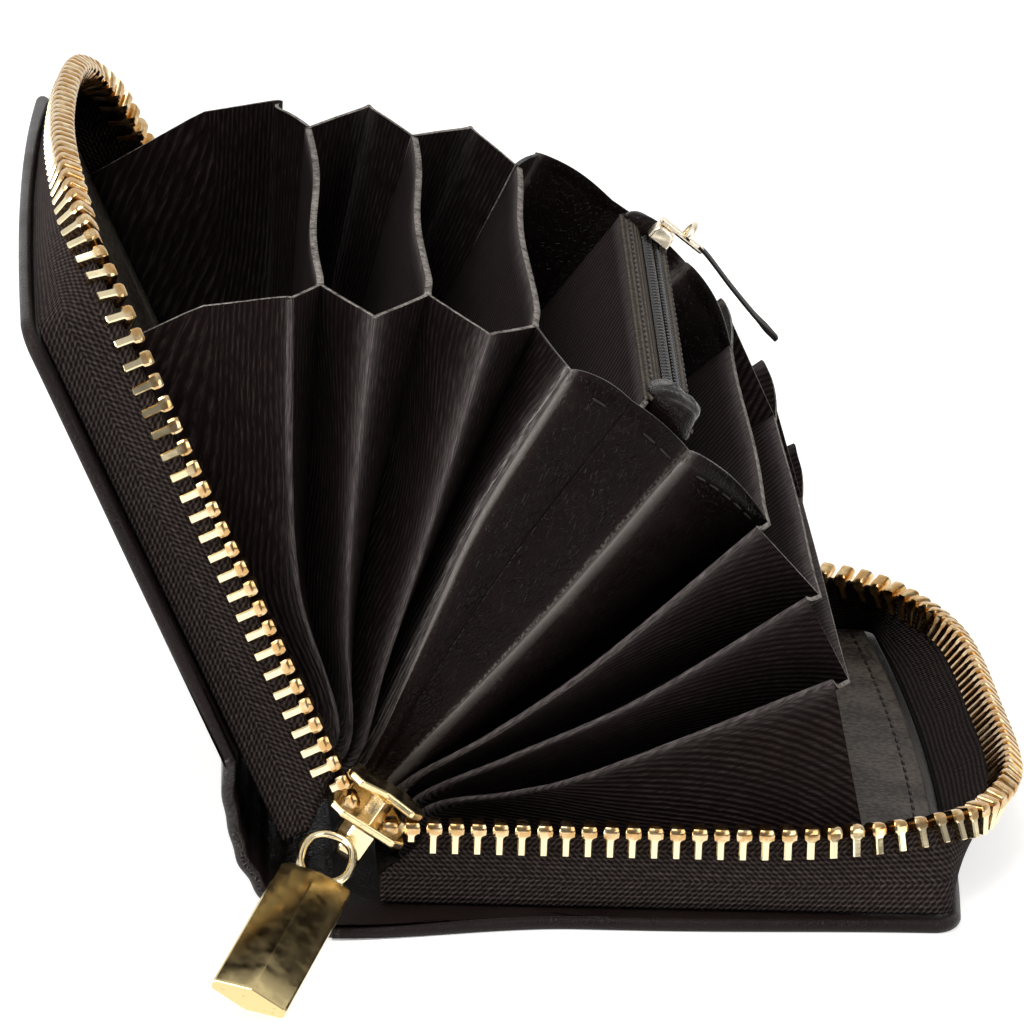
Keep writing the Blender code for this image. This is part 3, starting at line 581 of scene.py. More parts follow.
@dataclass(frozen=True)
class RibbedCloth(Finish):
    """Black lining cloth with a warp rib: fine lines, a dull nap, and grey fluff on the worn folds, which on
    the pleats' ridges also paints their highlight.

    Attributes:
        colour: Cloth between the ribs.
        yarn: Ribs.
        fluff: Broken fibres on the folds, which on the pleats' ridges also paint their highlight.
        thread: Thread that shows in a worn seam, which on the pleats also paints a glint along the crease.
        pitch: Distance between ribs in metres.
        slant: Turn of the ribs.
        relief: How much of the ribs shows everywhere.
    """

    colour: str = "#130b0b"
    yarn: str = "#4b4240"
    fluff: str = "#807877"
    thread: str = "#b8b2ab"
    pitch: float = 0.0009
    slant: float = 0.0
    relief: float = 0.0

    def dress(self, tree: Tree, sockets: Sockets) -> None:
        """Ribs as bands on the pattern map, broken up by noise; the worn mark mixes in the fluff, also a
        painted highlight on the pleats' ridges.

        Args:
            tree: Node tree of the material.
            sockets: Inputs of its shader.
        """
        add = partial(add_node, tree)
        flat = add("UVMap", "UV", {"uv_map": "pattern"})
        turned = add("Mapping", "Vector", inputs={"Vector": flat, "Rotation": (0.0, 0.0, self.slant)})
        ribs = add("TexWave", "Fac", {"wave_type": "BANDS", "bands_direction": "X"},
                   {"Vector": turned, "Scale": math.tau / 20.0 / self.pitch, "Distortion": 1.2,
                    "Detail": 3.0, "Detail Scale": 2.0})
        stretched = add("Mapping", "Vector", inputs={"Vector": flat, "Scale": (3800.0, 420.0, 1.0)})
        fibres = add("TexNoise", "Fac", inputs={"Vector": stretched, "Scale": 1.0, "Detail": 4.0,
                                                "Roughness": 0.65})
        patches = add("TexNoise", "Fac", inputs={"Vector": flat, "Scale": 110.0, "Detail": 3.0})
        # Worn mark: grey fluff on folds and top edges, which on the pleats' ridges also paints their
        # highlight.
        worn = add("Attribute", "Fac", {"attribute_name": "worn"})
        loose = add("MapRange", "Result", inputs={"Value": fibres, "From Min": 0.42, "From Max": 0.72})
        lit = add("Math", 0, {"operation": "MULTIPLY_ADD"}, {0: loose, 1: patches, 2: self.relief})
        rib = add("Math", 0, {"operation": "MULTIPLY"}, {0: lit, 1: ribs})
        colour = add("Mix", 2, {"data_type": "RGBA"},
                     {"Factor": rib, 6: linear(self.colour), 7: linear(self.yarn)})
        rub = add("Math", 0, {"operation": "MULTIPLY_ADD"}, {0: loose, 1: 0.75, 2: 0.25})
        share = add("Math", 0, {"operation": "MULTIPLY", "use_clamp": True}, {0: rub, 1: worn})
        colour = add("Mix", 2, {"data_type": "RGBA"}, {"Factor": share, 6: colour, 7: linear(self.fluff)})
        # Seam mark: pale thread, which on the pleats also paints a glint along the crease.
        seam = add("Attribute", "Fac", {"attribute_name": "seam"})
        seam = add("Math", 0, {"operation": "MULTIPLY", "use_clamp": True}, {0: seam, 1: loose})
        colour = add("Mix", 2, {"data_type": "RGBA"}, {"Factor": seam, 6: colour, 7: linear(self.thread)})
        tree.links.new(colour, sockets["Base Color"])
        height = add("Math", 0, {"operation": "MULTIPLY_ADD"}, {0: fibres, 1: 0.8, 2: ribs})
        self.bump(tree, sockets, height, 0.00018, 0.9)


@dataclass(frozen=True)
class RawEdge(Finish):
    """Cut edge of the cloth-lined card: pale grey fluff with dark gaps between the fibres."""

    def dress(self, tree: Tree, sockets: Sockets) -> None:
        """Fibre tufts from two scales of noise.

        Args:
            tree: Node tree of the material.
            sockets: Inputs of its shader.
        """
        add = partial(add_node, tree)
        place = add("TexCoord", "Object")
        tufts = add("TexNoise", "Fac",
                    inputs={"Vector": place, "Scale": 2400.0, "Detail": 4.0, "Roughness": 0.7})
        clumps = add("TexNoise", "Fac", inputs={"Vector": place, "Scale": 500.0, "Detail": 2.0})
        both = add("Math", 0, {"operation": "MULTIPLY_ADD"}, {0: clumps, 1: 0.5, 2: tufts})
        colour = ramp(tree, both, [(0.55, "#3a3330"), (0.72, "#857f79"), (0.95, "#bdb6ad")])
        tree.links.new(colour, sockets["Base Color"])
        self.bump(tree, sockets, both, 0.0003)


@dataclass(frozen=True)
class WovenTape(Finish):
    """Polyester zip tape, woven in a herringbone: slanting threads that change sides from band to band.

    Attributes:
        colour: Gaps between the threads.
        yarn: Threads.
        pitch: Distance between threads in metres.
        band: Width of one band in metres.
    """

    colour: str = "#140d0c"
    yarn: str = "#4e4441"
    pitch: float = 0.0007
    band: float = 0.0036

    def dress(self, tree: Tree, sockets: Sockets) -> None:
        """Threads are bands of run plus or minus height, where the sign changes from band to band.

        Args:
            tree: Node tree of the material.
            sockets: Inputs of its shader.
        """
        add = partial(add_node, tree)
        flat = add("UVMap", "UV", {"uv_map": "pattern"})
        run = add("SeparateXYZ", "X", inputs={"Vector": flat})
        level = run.node.outputs["Y"]
        fold = add("Math", 0, {"operation": "PINGPONG"}, {0: level, 1: self.band})
        lean = add("Math", 0, {"operation": "ADD"}, {0: run, 1: fold})
        noise = add("TexNoise", "Fac", inputs={"Vector": flat, "Scale": 1500.0, "Detail": 3.0})
        loose = add("Math", 0, {"operation": "MULTIPLY_ADD"}, {0: noise, 1: self.pitch * 0.7, 2: lean})
        phase = add("Math", 0, {"operation": "MULTIPLY"}, {0: loose, 1: math.tau / self.pitch})
        wave = add("Math", 0, {"operation": "SINE"}, {0: phase})
        cross = add("Math", 0, {"operation": "MULTIPLY"}, {0: level, 1: math.tau / (self.pitch * 0.8)})
        weft = add("Math", 0, {"operation": "SINE"}, {0: cross})
        both = add("Math", 0, {"operation": "MULTIPLY_ADD"}, {0: weft, 1: 0.85, 2: wave})
        share = add("MapRange", "Result", inputs={"Value": both, "From Min": -1.2, "From Max": 1.3})
        mixed = add("Math", 0, {"operation": "MULTIPLY"}, {0: share, 1: noise})
        tree.links.new(ramp(tree, mixed, [(0.1, self.colour), (0.62, self.yarn)]), sockets["Base Color"])
        self.bump(tree, sockets, both, 0.00012, 0.8)


@dataclass(frozen=True)
class GrainedLeather(Finish):
    """Embossed split leather of the lining panels: small pebbles, dull and greyish."""

    pebble: float = 0.0007

    def dress(self, tree: Tree, sockets: Sockets) -> None:
        """Pebbles from cells, with darker valleys.

        Args:
            tree: Node tree of the material.
            sockets: Inputs of its shader.
        """
        add = partial(add_node, tree)
        place = add("TexCoord", "Object")
        cells = add("TexVoronoi", "Distance", {"feature": "F1"},
                    {"Vector": place, "Scale": 1.0 / self.pebble})
        cloud = add("TexNoise", "Fac", inputs={"Vector": place, "Scale": 140.0, "Detail": 4.0})
        mixed = add("Math", 0, {"operation": "MULTIPLY_ADD"}, {0: cells, 1: -0.6, 2: cloud})
        tree.links.new(ramp(tree, mixed, [(0.0, "#2a231f"), (0.45, "#5f574d")]), sockets["Base Color"])
        wrinkle = add("TexNoise", "Fac", inputs={"Vector": place, "Scale": 420.0, "Detail": 3.0})
        height = add("Math", 0, {"operation": "MULTIPLY_ADD"}, {0: cells, 1: -0.5, 2: wrinkle})
        self.bump(tree, sockets, height, 0.0003, 0.7)


@dataclass(frozen=True)
class LightGold(Finish):
    """Zinc and brass zip parts with light-gold electroplate: warm mirror shine, small pits and specks, and
    painted shade in the hollows.

    Attributes:
        colour: Fresh plate.
        deep: Darker plate that paints the shade in the hollows, where the mark of the same name lies.
        pit: Bare metal in the pits.
        pits: How much of the pits shows.
        ripple: Height of the ripple in metres.
    """

    colour: str = "#f4e3ba"
    deep: str = "#b7833c"
    pit: str = "#3a2a1c"
    pits: float = 0.1
    ripple: float = 0.00005

    def dress(self, tree: Tree, sockets: Sockets) -> None:
        """Specks darken and roughen the plate; the recess mark, broken by noise, paints shade in the hollows;
        a fine ripple breaks the reflections.

        Args:
            tree: Node tree of the material.
            sockets: Inputs of its shader.
        """
        add = partial(add_node, tree)
        place = add("TexCoord", "Object")
        specks = add("TexNoise", "Fac",
                     inputs={"Vector": place, "Scale": 1900.0, "Detail": 4.0, "Roughness": 0.7})
        ripple = add("TexNoise", "Fac", inputs={"Vector": place, "Scale": 520.0, "Detail": 2.0})
        spot = add("MapRange", "Result", inputs={"Value": specks, "From Min": 0.62, "From Max": 0.72,
                                                 "To Max": self.pits})
        # Painted shade: the recess mark darkens the plate on the teeth's heads and inner faces.
        mark = add("Attribute", "Fac", {"attribute_name": "deep"})
        cloud = add("TexNoise", "Fac", inputs={"Vector": place, "Scale": 800.0, "Detail": 2.0})
        broken = add("MapRange", "Result", inputs={"Value": cloud, "From Min": 0.36, "From Max": 0.56,
                                                   "To Min": 0.45})
        mark = add("Math", 0, {"operation": "MULTIPLY"}, {0: mark, 1: broken})
        colour = add("Mix", 2, {"data_type": "RGBA"},
                     {"Factor": mark, 6: linear(self.colour), 7: linear(self.deep)})
        colour = add("Mix", 2, {"data_type": "RGBA"}, {"Factor": spot, 6: colour, 7: linear(self.pit)})
        tree.links.new(colour, sockets["Base Color"])
        self.uneven(tree, sockets, ripple, (0.3, 0.7), (-0.05, 0.1))
        self.bump(tree, sockets, ripple, self.ripple, 0.5)


@dataclass(frozen=True)
class Thread(Finish):
    """Bonded nylon thread and moulded nylon coil: dark, slightly glossy, with a light twist."""

    colour: str = "#1b1718"
    pale: str = "#4a4545"

    def dress(self, tree: Tree, sockets: Sockets) -> None:
        """Twist from noise.

        Args:
            tree: Node tree of the material.
            sockets: Inputs of its shader.
        """
        place = add_node(tree, "TexCoord", "Object")
        noise = add_node(tree, "TexNoise", "Fac", inputs={"Vector": place, "Scale": 1600.0, "Detail": 3.0})
        tree.links.new(ramp(tree, noise, [(0.35, self.colour), (0.75, self.pale)]), sockets["Base Color"])
        self.bump(tree, sockets, noise, 0.00005, 0.5)


CLOTH_LOOK = {"roughness": 0.95, "specular": 0.06}
PLATED = {"metallic": 1.0}

POLISHED = PolishedLeather("polished_cowhide", roughness=0.34, specular=0.14)
SPINE_HIDE = PolishedLeather("creased_cowhide", roughness=0.24, specular=0.35, crease=0.3)
STRAP_HIDE = PolishedLeather("strap_cowhide", roughness=0.5, specular=0.1, colour="#0c0808", rubbed="#15100f")
SKIVER = CrackledLeather("crackled_skiver", roughness=0.3, specular=0.06)
TAB_HIDE = PolishedLeather("padded_tab_hide", roughness=0.2, specular=0.1, colour="#120d0b", rubbed="#2b2521",
                           crease=0.5)
GUSSET_CLOTH = RibbedCloth("warp_rib_cloth", **CLOTH_LOOK)
LEAF_CLOTH = RibbedCloth("herringbone_cloth", slant=0.62, pitch=0.0014, relief=0.3, **CLOTH_LOOK)
WALL_CLOTH = RibbedCloth("pocket_rib_cloth", slant=0.75, pitch=0.0013, relief=0.5, **CLOTH_LOOK)
LOWER_CLOTH = RibbedCloth("slanted_rib_cloth", slant=0.5, pitch=0.001, relief=0.12, **CLOTH_LOOK)
RAW = RawEdge("raw_cloth_edge", roughness=1.0, specular=0.05)
TAPE_WEAVE = WovenTape("herringbone_tape", roughness=0.9, specular=0.12)
COIN_TAPE = WovenTape("coin_zip_tape", roughness=0.9, specular=0.1, colour="#342e28", yarn="#857b70",
                      pitch=0.0006, band=0.0011)
PEBBLED = GrainedLeather("pebbled_split_leather", roughness=0.62, specular=0.25)
GOLD = LightGold("light_gold_plate", roughness=0.16, **PLATED)
WORN_GOLD = LightGold("rubbed_gold_plate", colour="#eed7a6", roughness=0.2, pits=0.55, **PLATED)
BAR_GOLD = LightGold("polished_gold_bar", colour="#d9c48f", roughness=0.16, pits=0.35, ripple=0.00001,
                     **PLATED)
PALE_GOLD = LightGold("pale_gold_plate", colour="#f3e6cd", roughness=0.22, pits=0.2, **PLATED)
NYLON = Thread("nylon_coil_finish", colour="#0c0908", pale="#1a1513", roughness=0.26, specular=0.6)
STITCH = Thread("bonded_thread", colour="#0f0b0a", pale="#2a2421", roughness=0.5, specular=0.3)


# Shared shape of the case


@dataclass
class CaseShape:
    """Sizes shared by all sub-assemblies, in metres, and the outline of the tooth row."""

    half_depth: float = 0.012
    open_angle: float = math.radians(116.14)
    leather: float = 0.0016
    lining: float = 0.0005
    row_length: float = 0.234
    row_straight: float = 0.0315
    row_turn: float = 0.0636
    row_bow: float = math.radians(14.2)
    sag_start: float = 0.05
    tip_clearance: float = 0.0002
    corner_reach: float = 0.003
    foot_near: float = 0.0668
    foot_far: float = 0.0691
    foot_bow: float = 0.0022
    foot_corner: float = 0.0024
    foot_even: float = 0.055
    fit: float = 0.0003
    samples: int = 800
    run: Array = field(init=False)
    u: Array = field(init=False)
    v: Array = field(init=False)
    turn: Array = field(init=False)
    foot_line: Array = field(init=False)
    foot_reach: Array = field(init=False)

    def __post_init__(self) -> None:
        """Sum the row's outline from its heading.

        It turns a quarter less the bow at each corner, and twice the bow along the fore edge.
        """
        run = np.linspace(0.0, self.row_length, self.samples)
        half = self.row_length / 2.0
        side = np.minimum(run, self.row_length - run)
        corner = smooth((side - self.row_straight) / self.row_turn)
        bow_from = self.row_straight + self.row_turn / 2.0
        bow = 2.0 * smooth((side - bow_from) / (2.0 * (half - bow_from)))
        turn = (math.pi / 2.0 - self.row_bow) * corner + self.row_bow * bow
        turn = np.where(run <= half, turn, math.pi - turn)
        step = run[1] - run[0]
        cosines = np.cos(turn)
        sines = np.sin(turn)
        self.run = run
        self.turn = turn
        self.u = np.concatenate([[0.0], np.cumsum((cosines[1:] + cosines[:-1]) * step / 2.0)])
        self.v = np.concatenate([[0.0], np.cumsum((sines[1:] + sines[:-1]) * step / 2.0)])
        self.foot_line = self.foot_path()
        self.foot_reach = travelled(self.foot_line)

    def foot_path(self) -> Array:
        """Line that the tapes are sewn on.

        Returns:
            Three sides of a rectangle with small round corners and a bowed fore edge, as u and v.
        """
        r = self.foot_corner
        turn = np.linspace(0.0, math.pi / 2.0, 12)
        near = self.foot_near
        far = self.foot_far
        side = np.linspace(0.0, near - r, 120)[:-1]
        back = np.linspace(far - r, 0.0, 120)[1:]
        v = np.linspace(r, self.length - r, 160)[1:-1]
        share = (v - r) / (self.length - 2.0 * r)
        fore = near + (far - near) * share + self.foot_bow * 4.0 * share * (1.0 - share)
        u = np.concatenate([side, near - r + r * np.sin(turn), fore, far - r + r * np.cos(turn), back])
        v = np.concatenate([0.0 * side, r - r * np.cos(turn), v, self.length - r + r * np.sin(turn),
                            self.length + 0.0 * back])
        return np.stack([u, v], axis=1)

    def foot(self, run: Array) -> tuple[Array, Array, Array, Array]:
        """Sewn foot below each place of the row, whose extra length lies past the corners.

        Args:
            run: Distances along the row.

        Returns:
            The u and v of the foot and of its outward normal.
        """
        extra = (self.foot_reach[-1] - self.row_length) / 2.0
        half = self.row_length / 2.0
        side = np.minimum(run, self.row_length - run)
        eased = extra * smooth((side - self.foot_even) / (half - self.foot_even))
        reach = np.where(run <= half, run + eased, self.foot_reach[-1] - side - eased)
        u = np.interp(reach, self.foot_reach, self.foot_line[:, 0])
        v = np.interp(reach, self.foot_reach, self.foot_line[:, 1])
        step = np.gradient(self.foot_line, axis=0)
        step_u = np.interp(reach, self.foot_reach, step[:, 0])
        step_v = np.interp(reach, self.foot_reach, step[:, 1])
        norm = np.hypot(step_u, step_v)
        return u, v, step_v / norm, -step_u / norm

    @property
    def length(self) -> float:
        """Length of the case along the spine."""
        return float(self.v[-1])

    @property
    def inner_face(self) -> float:
        """Depth of the lining's seat below the hinge line."""
        return self.half_depth - self.leather - self.fit

    @property
    def lining_top(self) -> float:
        """Depth of the lining's face below the hinge line."""
        return self.inner_face - self.lining


@dataclass
class CoverFrame:
    """Frame of one cover: u away from the hinge line, v along it, w inwards."""

    case: CaseShape
    body: str
    angle: float
    inward: Array
    sag: float

    @property
    def along(self) -> Array:
        """Direction away from the hinge line."""
        return heading(self.angle)

    def place(self, u: Array, v: Array, w: Array) -> Array:
        """World places of places on the cover.

        Args:
            u: Distances from the hinge line.
            v: Distances along it.
            w: Heights inwards.

        Returns:
            Places in the world.
        """
        hinge = np.array([0.0, 0.0, self.case.half_depth])
        u, v, w = np.broadcast_arrays(u, v, w)
        return hinge + u[..., None] * self.along + v[..., None] * ALONG_SPINE + w[..., None] * self.inward

    def row(self, run: Array) -> tuple[Array, Array, Array]:
        """Tip line of the teeth.

        Args:
            run: Distances along the row.

        Returns:
            Tips, tangents and outward directions.
        """
        case = self.case
        u = np.interp(run, case.run, case.u)
        v = np.interp(run, case.run, case.v)
        turn = np.interp(run, case.run, case.turn)
        half = case.row_length / 2.0
        sag = self.sag * smooth(1.0 - np.abs(run - half) / (half - case.sag_start))
        side = np.minimum(run, case.row_length - run)
        fade = 1.0 - 0.65 * smooth((side - 0.08) / 0.037)
        reach = case.corner_reach * smooth((side - 0.035) / 0.04) * fade
        tangent = np.cos(turn)[..., None] * self.along + np.sin(turn)[..., None] * ALONG_SPINE
        outward = np.sin(turn)[..., None] * self.along - np.cos(turn)[..., None] * ALONG_SPINE
        return self.place(u, v, -sag - case.tip_clearance) + outward * reach[..., None], tangent, outward

    def wall(self, run: Array) -> tuple[Array, Array, Array, Array]:
        """Foot and tip of the tape wall, which leans in at the corners and out along the fore edge.

        Args:
            run: Distances along the row.

        Returns:
            Feet, tips, tangents and outward directions.
        """
        tip, tangent, outward = self.row(run)
        u, v, _, _ = self.case.foot(run)
        return self.place(u, v, np.array(-self.case.inner_face)), tip, tangent, outward


# Covers, linings, tapes and teeth


@dataclass
class Plate:
    """Flat leather plate with a turned, rounded edge, used for covers and linings."""

    cover: CoverFrame
    start: float
    margin: float
    level: float
    thickness: float
    ledge: float = 0.0
    lip: float = 0.0
    steps: int = 420
    arc: int = 8

    def outline(self) -> tuple[Array, Array]:
        """Edge of the plate: the sewn foot line moved out by the margin.

        A wider ledge lies on the two short sides, and the lip widens it once more where the
        leather runs on into the spine.

        Returns:
            The u and v of the edge, from the near end of the spine to the far end.
        """
        case = self.cover.case
        first = max(self.start, 0.0)
        u, v, out_u, out_v = case.foot(np.linspace(first, case.row_length - first, self.steps))
        if self.start < 0.0:
            lead = np.linspace(self.start, 0.0, 6)[:-1]
            u = np.concatenate([lead, u, lead[::-1]])
            v = np.concatenate([0.0 * lead, v, case.length + 0.0 * lead])
            out_u = np.concatenate([0.0 * lead, out_u, 0.0 * lead])
            out_v = np.concatenate([-1.0 + 0.0 * lead, out_v, 1.0 + 0.0 * lead])
        ledge = self.ledge * np.abs(out_v) ** 3 * (1.0 - 0.6 * smooth((u - 0.03) / 0.035))
        wide = self.margin + ledge
        wide = wide + np.where(out_v < 0.0, self.lip, 0.0) * (1.0 - smooth((u - self.start) / 0.028))
        return u + out_u * wide, v + out_v * wide

    def build(self, name: str, finish: Finish) -> Piece:
        """Closed shell: a section of flat, half-round edge and flat, carried round the outline.

        Each place is the spine edge moved towards the outline by a share, and the half-round
        adds cosine outwards and sine along the thickness.

        Args:
            name: Name of the piece.
            finish: Leather finish.

        Returns:
            The object.
        """
        u, v = self.outline()
        share = np.linspace(0.0, 1.0, len(u))
        v_edge = v[0] + (v[-1] - v[0]) * share
        radius = self.thickness / 2.0
        turn = np.linspace(math.pi / 2.0, -math.pi / 2.0, self.arc)
        across = np.concatenate([[0.0, 0.35, 0.7, 0.93], np.ones(self.arc), [0.93, 0.7, 0.35, 0.0]])
        out = np.concatenate([np.zeros(4), radius * (np.cos(turn) - 1.0), np.zeros(4)])
        high = np.concatenate([np.full(4, radius), radius * np.sin(turn), np.full(4, -radius)])
        run_u = np.gradient(u)
        run_v = np.gradient(v)
        norm = np.hypot(run_u, run_v)
        side_u = run_v / norm
        side_v = -run_u / norm
        grid_u = self.start + (u[:, None] - self.start) * across + side_u[:, None] * out
        grid_v = v_edge[:, None] + (v - v_edge)[:, None] * across + side_v[:, None] * out
        grid_w = np.broadcast_to(self.level + radius + high, grid_u.shape)
        return loft(name, self.cover.place(grid_u, grid_v, grid_w), finish)


@dataclass
class Stitch:
    """Shape of one thread stitch, a six-sided capsule."""

    length: float
    radius: float
    neck: float
    sides: int = 6

    def build(self, name: str, middle: Array, ahead: Array, side: Array, other: Array) -> Piece:
        """Stitches at many places as one mesh.

        Args:
            name: Name of the piece.
            middle: Middle of each stitch.
            ahead: Direction of each stitch.
            side: Direction square to it.
            other: Direction square to both.

        Returns:
            The object.
        """
        stations = np.array([-0.5, -self.neck, 0.0, self.neck, 0.5]) * self.length
        widths = np.array([0.25, 0.8, 1.0, 0.8, 0.25]) * self.radius
        turn = np.linspace(0.0, math.tau, self.sides, endpoint=False)
        verts = (middle[:, None, None] + ahead[:, None, None] * stations[:, None, None]
                 + side[:, None, None] * (widths[:, None] * np.cos(turn))[..., None]
                 + other[:, None, None] * (widths[:, None] * np.sin(turn))[..., None])
        rings = len(stations)
        faces = repeated(rings * self.sides, capped(rings, self.sides), len(middle))
        return make_piece(name, verts, faces, STITCH)


@dataclass
class StitchLine:
    """Row of thread stitches along an outline on a cover."""

    cover: CoverFrame
    level: float
    pitch: float = 0.003
    stitch: Stitch = field(default_factory=lambda: Stitch(0.0021, 0.00022, 0.42))

    def build(self, name: str, u: Array, v: Array) -> Piece:
        """Stitches a pitch apart, flat on the cover.

        Args:
            name: Name of the piece.
            u: Line of the stitches away from the hinge.
            v: Line of the stitches along the hinge.

        Returns:
            The object.
        """
        cover = self.cover
        line = np.stack([u, v], axis=1)
        reach = travelled(line)
        places = np.arange(self.pitch, reach[-1] - self.pitch, self.pitch)
        middle = places_at(line, reach, places)
        step = self.pitch / 4.0
        ahead = unit(places_at(line, reach, places + step) - places_at(line, reach, places - step))
        spots = cover.place(middle[:, 0], middle[:, 1], np.array(self.level))
        forward = ahead[:, :1] * cover.along + ahead[:, 1:] * ALONG_SPINE
        sideways = ahead[:, :1] * ALONG_SPINE - ahead[:, 1:] * cover.along
        upward = np.tile(cover.inward, (len(places), 1))
        return self.stitch.build(name, spots, forward, sideways, upward)


@dataclass
class ZipTape:
    """Woven tape that stands round three sides of a cover, with a beaded edge inside the teeth."""

    cover: CoverFrame
    thickness: float = 0.0006
    bead: float = 0.00055
    bead_depth: float = 0.0021
    foot_start: float = 0.0015
    cut_depth: float = 0.0067
    keep_clear: float = 0.00625
    steps: int = 420

    def start(self, depth: Array) -> Array:
        """Run at which the tape begins, cut back round the circle that the slider needs."""
        cut = np.sqrt(np.maximum(self.keep_clear ** 2 - depth ** 2, 0.0))
        return np.where(depth >= self.cut_depth, self.foot_start, cut)

    def build(self) -> Piece:
        """Closed section, a bead on a flat strip, carried along the wall.

        A place is the tip lowered along the wall by its depth and moved outwards by its offset.

        Returns:
            The object.
        """
        case = self.cover.case
        turn = np.linspace(-0.75 * math.pi, 0.75 * math.pi, 9)
        depth = self.bead_depth - self.bead * np.cos(turn)
        off = self.bead * np.sin(turn)
        full = case.inner_face
        levels = np.array([0.0034, 0.0046, 0.0058, self.cut_depth, 0.008, full - 0.0008, full])
        half = self.thickness / 2.0
        depth = np.concatenate([depth, levels, levels[::-1]])
        off = np.concatenate([off, np.full(len(levels), half), np.full(len(levels), -half)])
        begin = self.start(depth)
        share = np.linspace(0.0, 1.0, self.steps)
        run = begin + (case.row_length - 2.0 * begin) * share[:, None]
        foot, tip, _, outward = self.cover.wall(run)
        down = foot - tip
        reach = np.linalg.norm(down, axis=-1, keepdims=True)
        part = (depth / full)[:, None]
        ripple = 0.00012 * np.sin(run * 310.0) * np.sin(math.pi * np.clip(depth / full, 0.0, 1.0))
        places = tip + down / reach * (part * reach) + outward * (off + ripple)[..., None]
        uv = np.stack([run, np.broadcast_to(depth + off, run.shape)], axis=-1)
        made = loft(self.cover.body + "_zip_tape", places, TAPE_WEAVE, uv)
        attach(made, self.cover.body, Slot.TAPE, self.cover.body + "_tape")
        return made


@dataclass
class Tooth:
    """Shape of one clamped tooth: two legs beside the tape and a round head with a nib."""

    height: float = 0.0037
    width: float = 0.0029
    leg: float = 0.00095
    head: float = 0.00178
    nib: float = 0.0001
    cut: float = 0.3
    sharp: float = math.radians(28)

    def template(self) -> tuple[Array, list]:
        """Rings of an oblong section from the legs' feet to the tip.

        Each level gives the half length along the row, the half width across it and the
        shift along the row; the ring is an octagon with cut corners.

        Returns:
            Places as along, across and up, and the faces.
        """
        leg = self.leg / 2.0
        head = self.head / 2.0
        wide = self.width / 2.0
        shift = self.nib
        levels = np.array([
            [-self.height, leg - 0.00008, wide - 0.00008, 0.0],
            [-self.height + 0.00008, leg, wide, 0.0],
            [-0.00185, leg, wide, 0.0],
            [-0.0016, leg * 1.1, wide, shift * 0.3],
            [-0.0014, head * 0.94, wide * 0.98, shift],
            [-0.0009, head, wide * 0.98, shift],
            [-0.0005, head * 0.95, wide * 0.93, shift],
            [-0.0002, head * 0.8, wide * 0.8, shift],
            [-0.00004, head * 0.58, wide * 0.58, shift],
            [0.0, head * 0.4, wide * 0.42, shift],
        ])
        short = 1.0 - self.cut
        low = 1.0 - self.cut * 0.4
        ring = np.array([[-1.0, -low], [-1.0, low], [-short, 1.0], [short, 1.0],
                         [1.0, low], [1.0, -low], [short, -1.0], [-short, -1.0]])
        along = levels[:, 1:2] * ring[:, 0] + levels[:, 3:4]
        across = levels[:, 2:3] * ring[:, 1]
        up = np.broadcast_to(levels[:, :1], along.shape)
        return np.stack([along, across, up], axis=-1).reshape(-1, 3), capped(len(levels), len(ring))

    def build(self, name: str, tip: Array, along: Array, across: Array, up: Array) -> Piece:
        """Teeth at many places as one mesh: tip plus the template times the three directions, with a mark of
        painted shade on the heads and inner faces.

        Args:
            name: Name of the piece.
            tip: Tip of each tooth.
            along: Direction of each nib.
            across: Direction across each tape.
            up: Direction from leg to tip.

        Returns:
            The object.
        """
        spots, faces = self.template()
        verts = (tip[:, None] + spots[None, :, 0:1] * along[:, None] + spots[None, :, 1:2] * across[:, None]
                 + spots[None, :, 2:3] * up[:, None])
        every = repeated(len(spots), faces, len(tip))
        # Painted shade: the inner faces and the heads carry the recess mark, which darkens the plate there.
        inner = smooth(0.5 - spots[:, 1] / self.width)
        deep = np.maximum(smooth((spots[:, 2] + 0.0017) / 0.0004) * 0.8, inner)
        made = make_piece(name, verts, every, GOLD, marks={"deep": np.tile(deep, len(tip))})
        made.data.set_sharp_from_angle(angle=self.sharp)
        return made


@dataclass
class ToothRow:
    """All teeth of one cover, a pitch apart."""

    cover: CoverFrame
    first: float
    pitch: float = 0.0025

    def build(self) -> Piece:
        """Teeth along the tip line, upright on the wall and square to the run.

        Returns:
            The object.
        """
        case = self.cover.case
        count = int((case.row_length - 2.0 * self.first) / self.pitch) + 1
        run = self.first + self.pitch * np.arange(count)
        foot, tip, _, outward = self.cover.wall(run)
        tangent = unit(np.gradient(tip, axis=0))
        lean = tip - foot
        up = unit(lean - tangent * np.sum(lean * tangent, axis=-1, keepdims=True))
        side = np.cross(up, tangent)
        outward = side * np.sign(np.sum(side * outward, axis=-1, keepdims=True))
        made = Tooth().build(self.cover.body + "_tooth_row", tip, tangent, outward, up)
        return attach(made, self.cover.body, Slot.GOLD, self.cover.body + "_teeth")


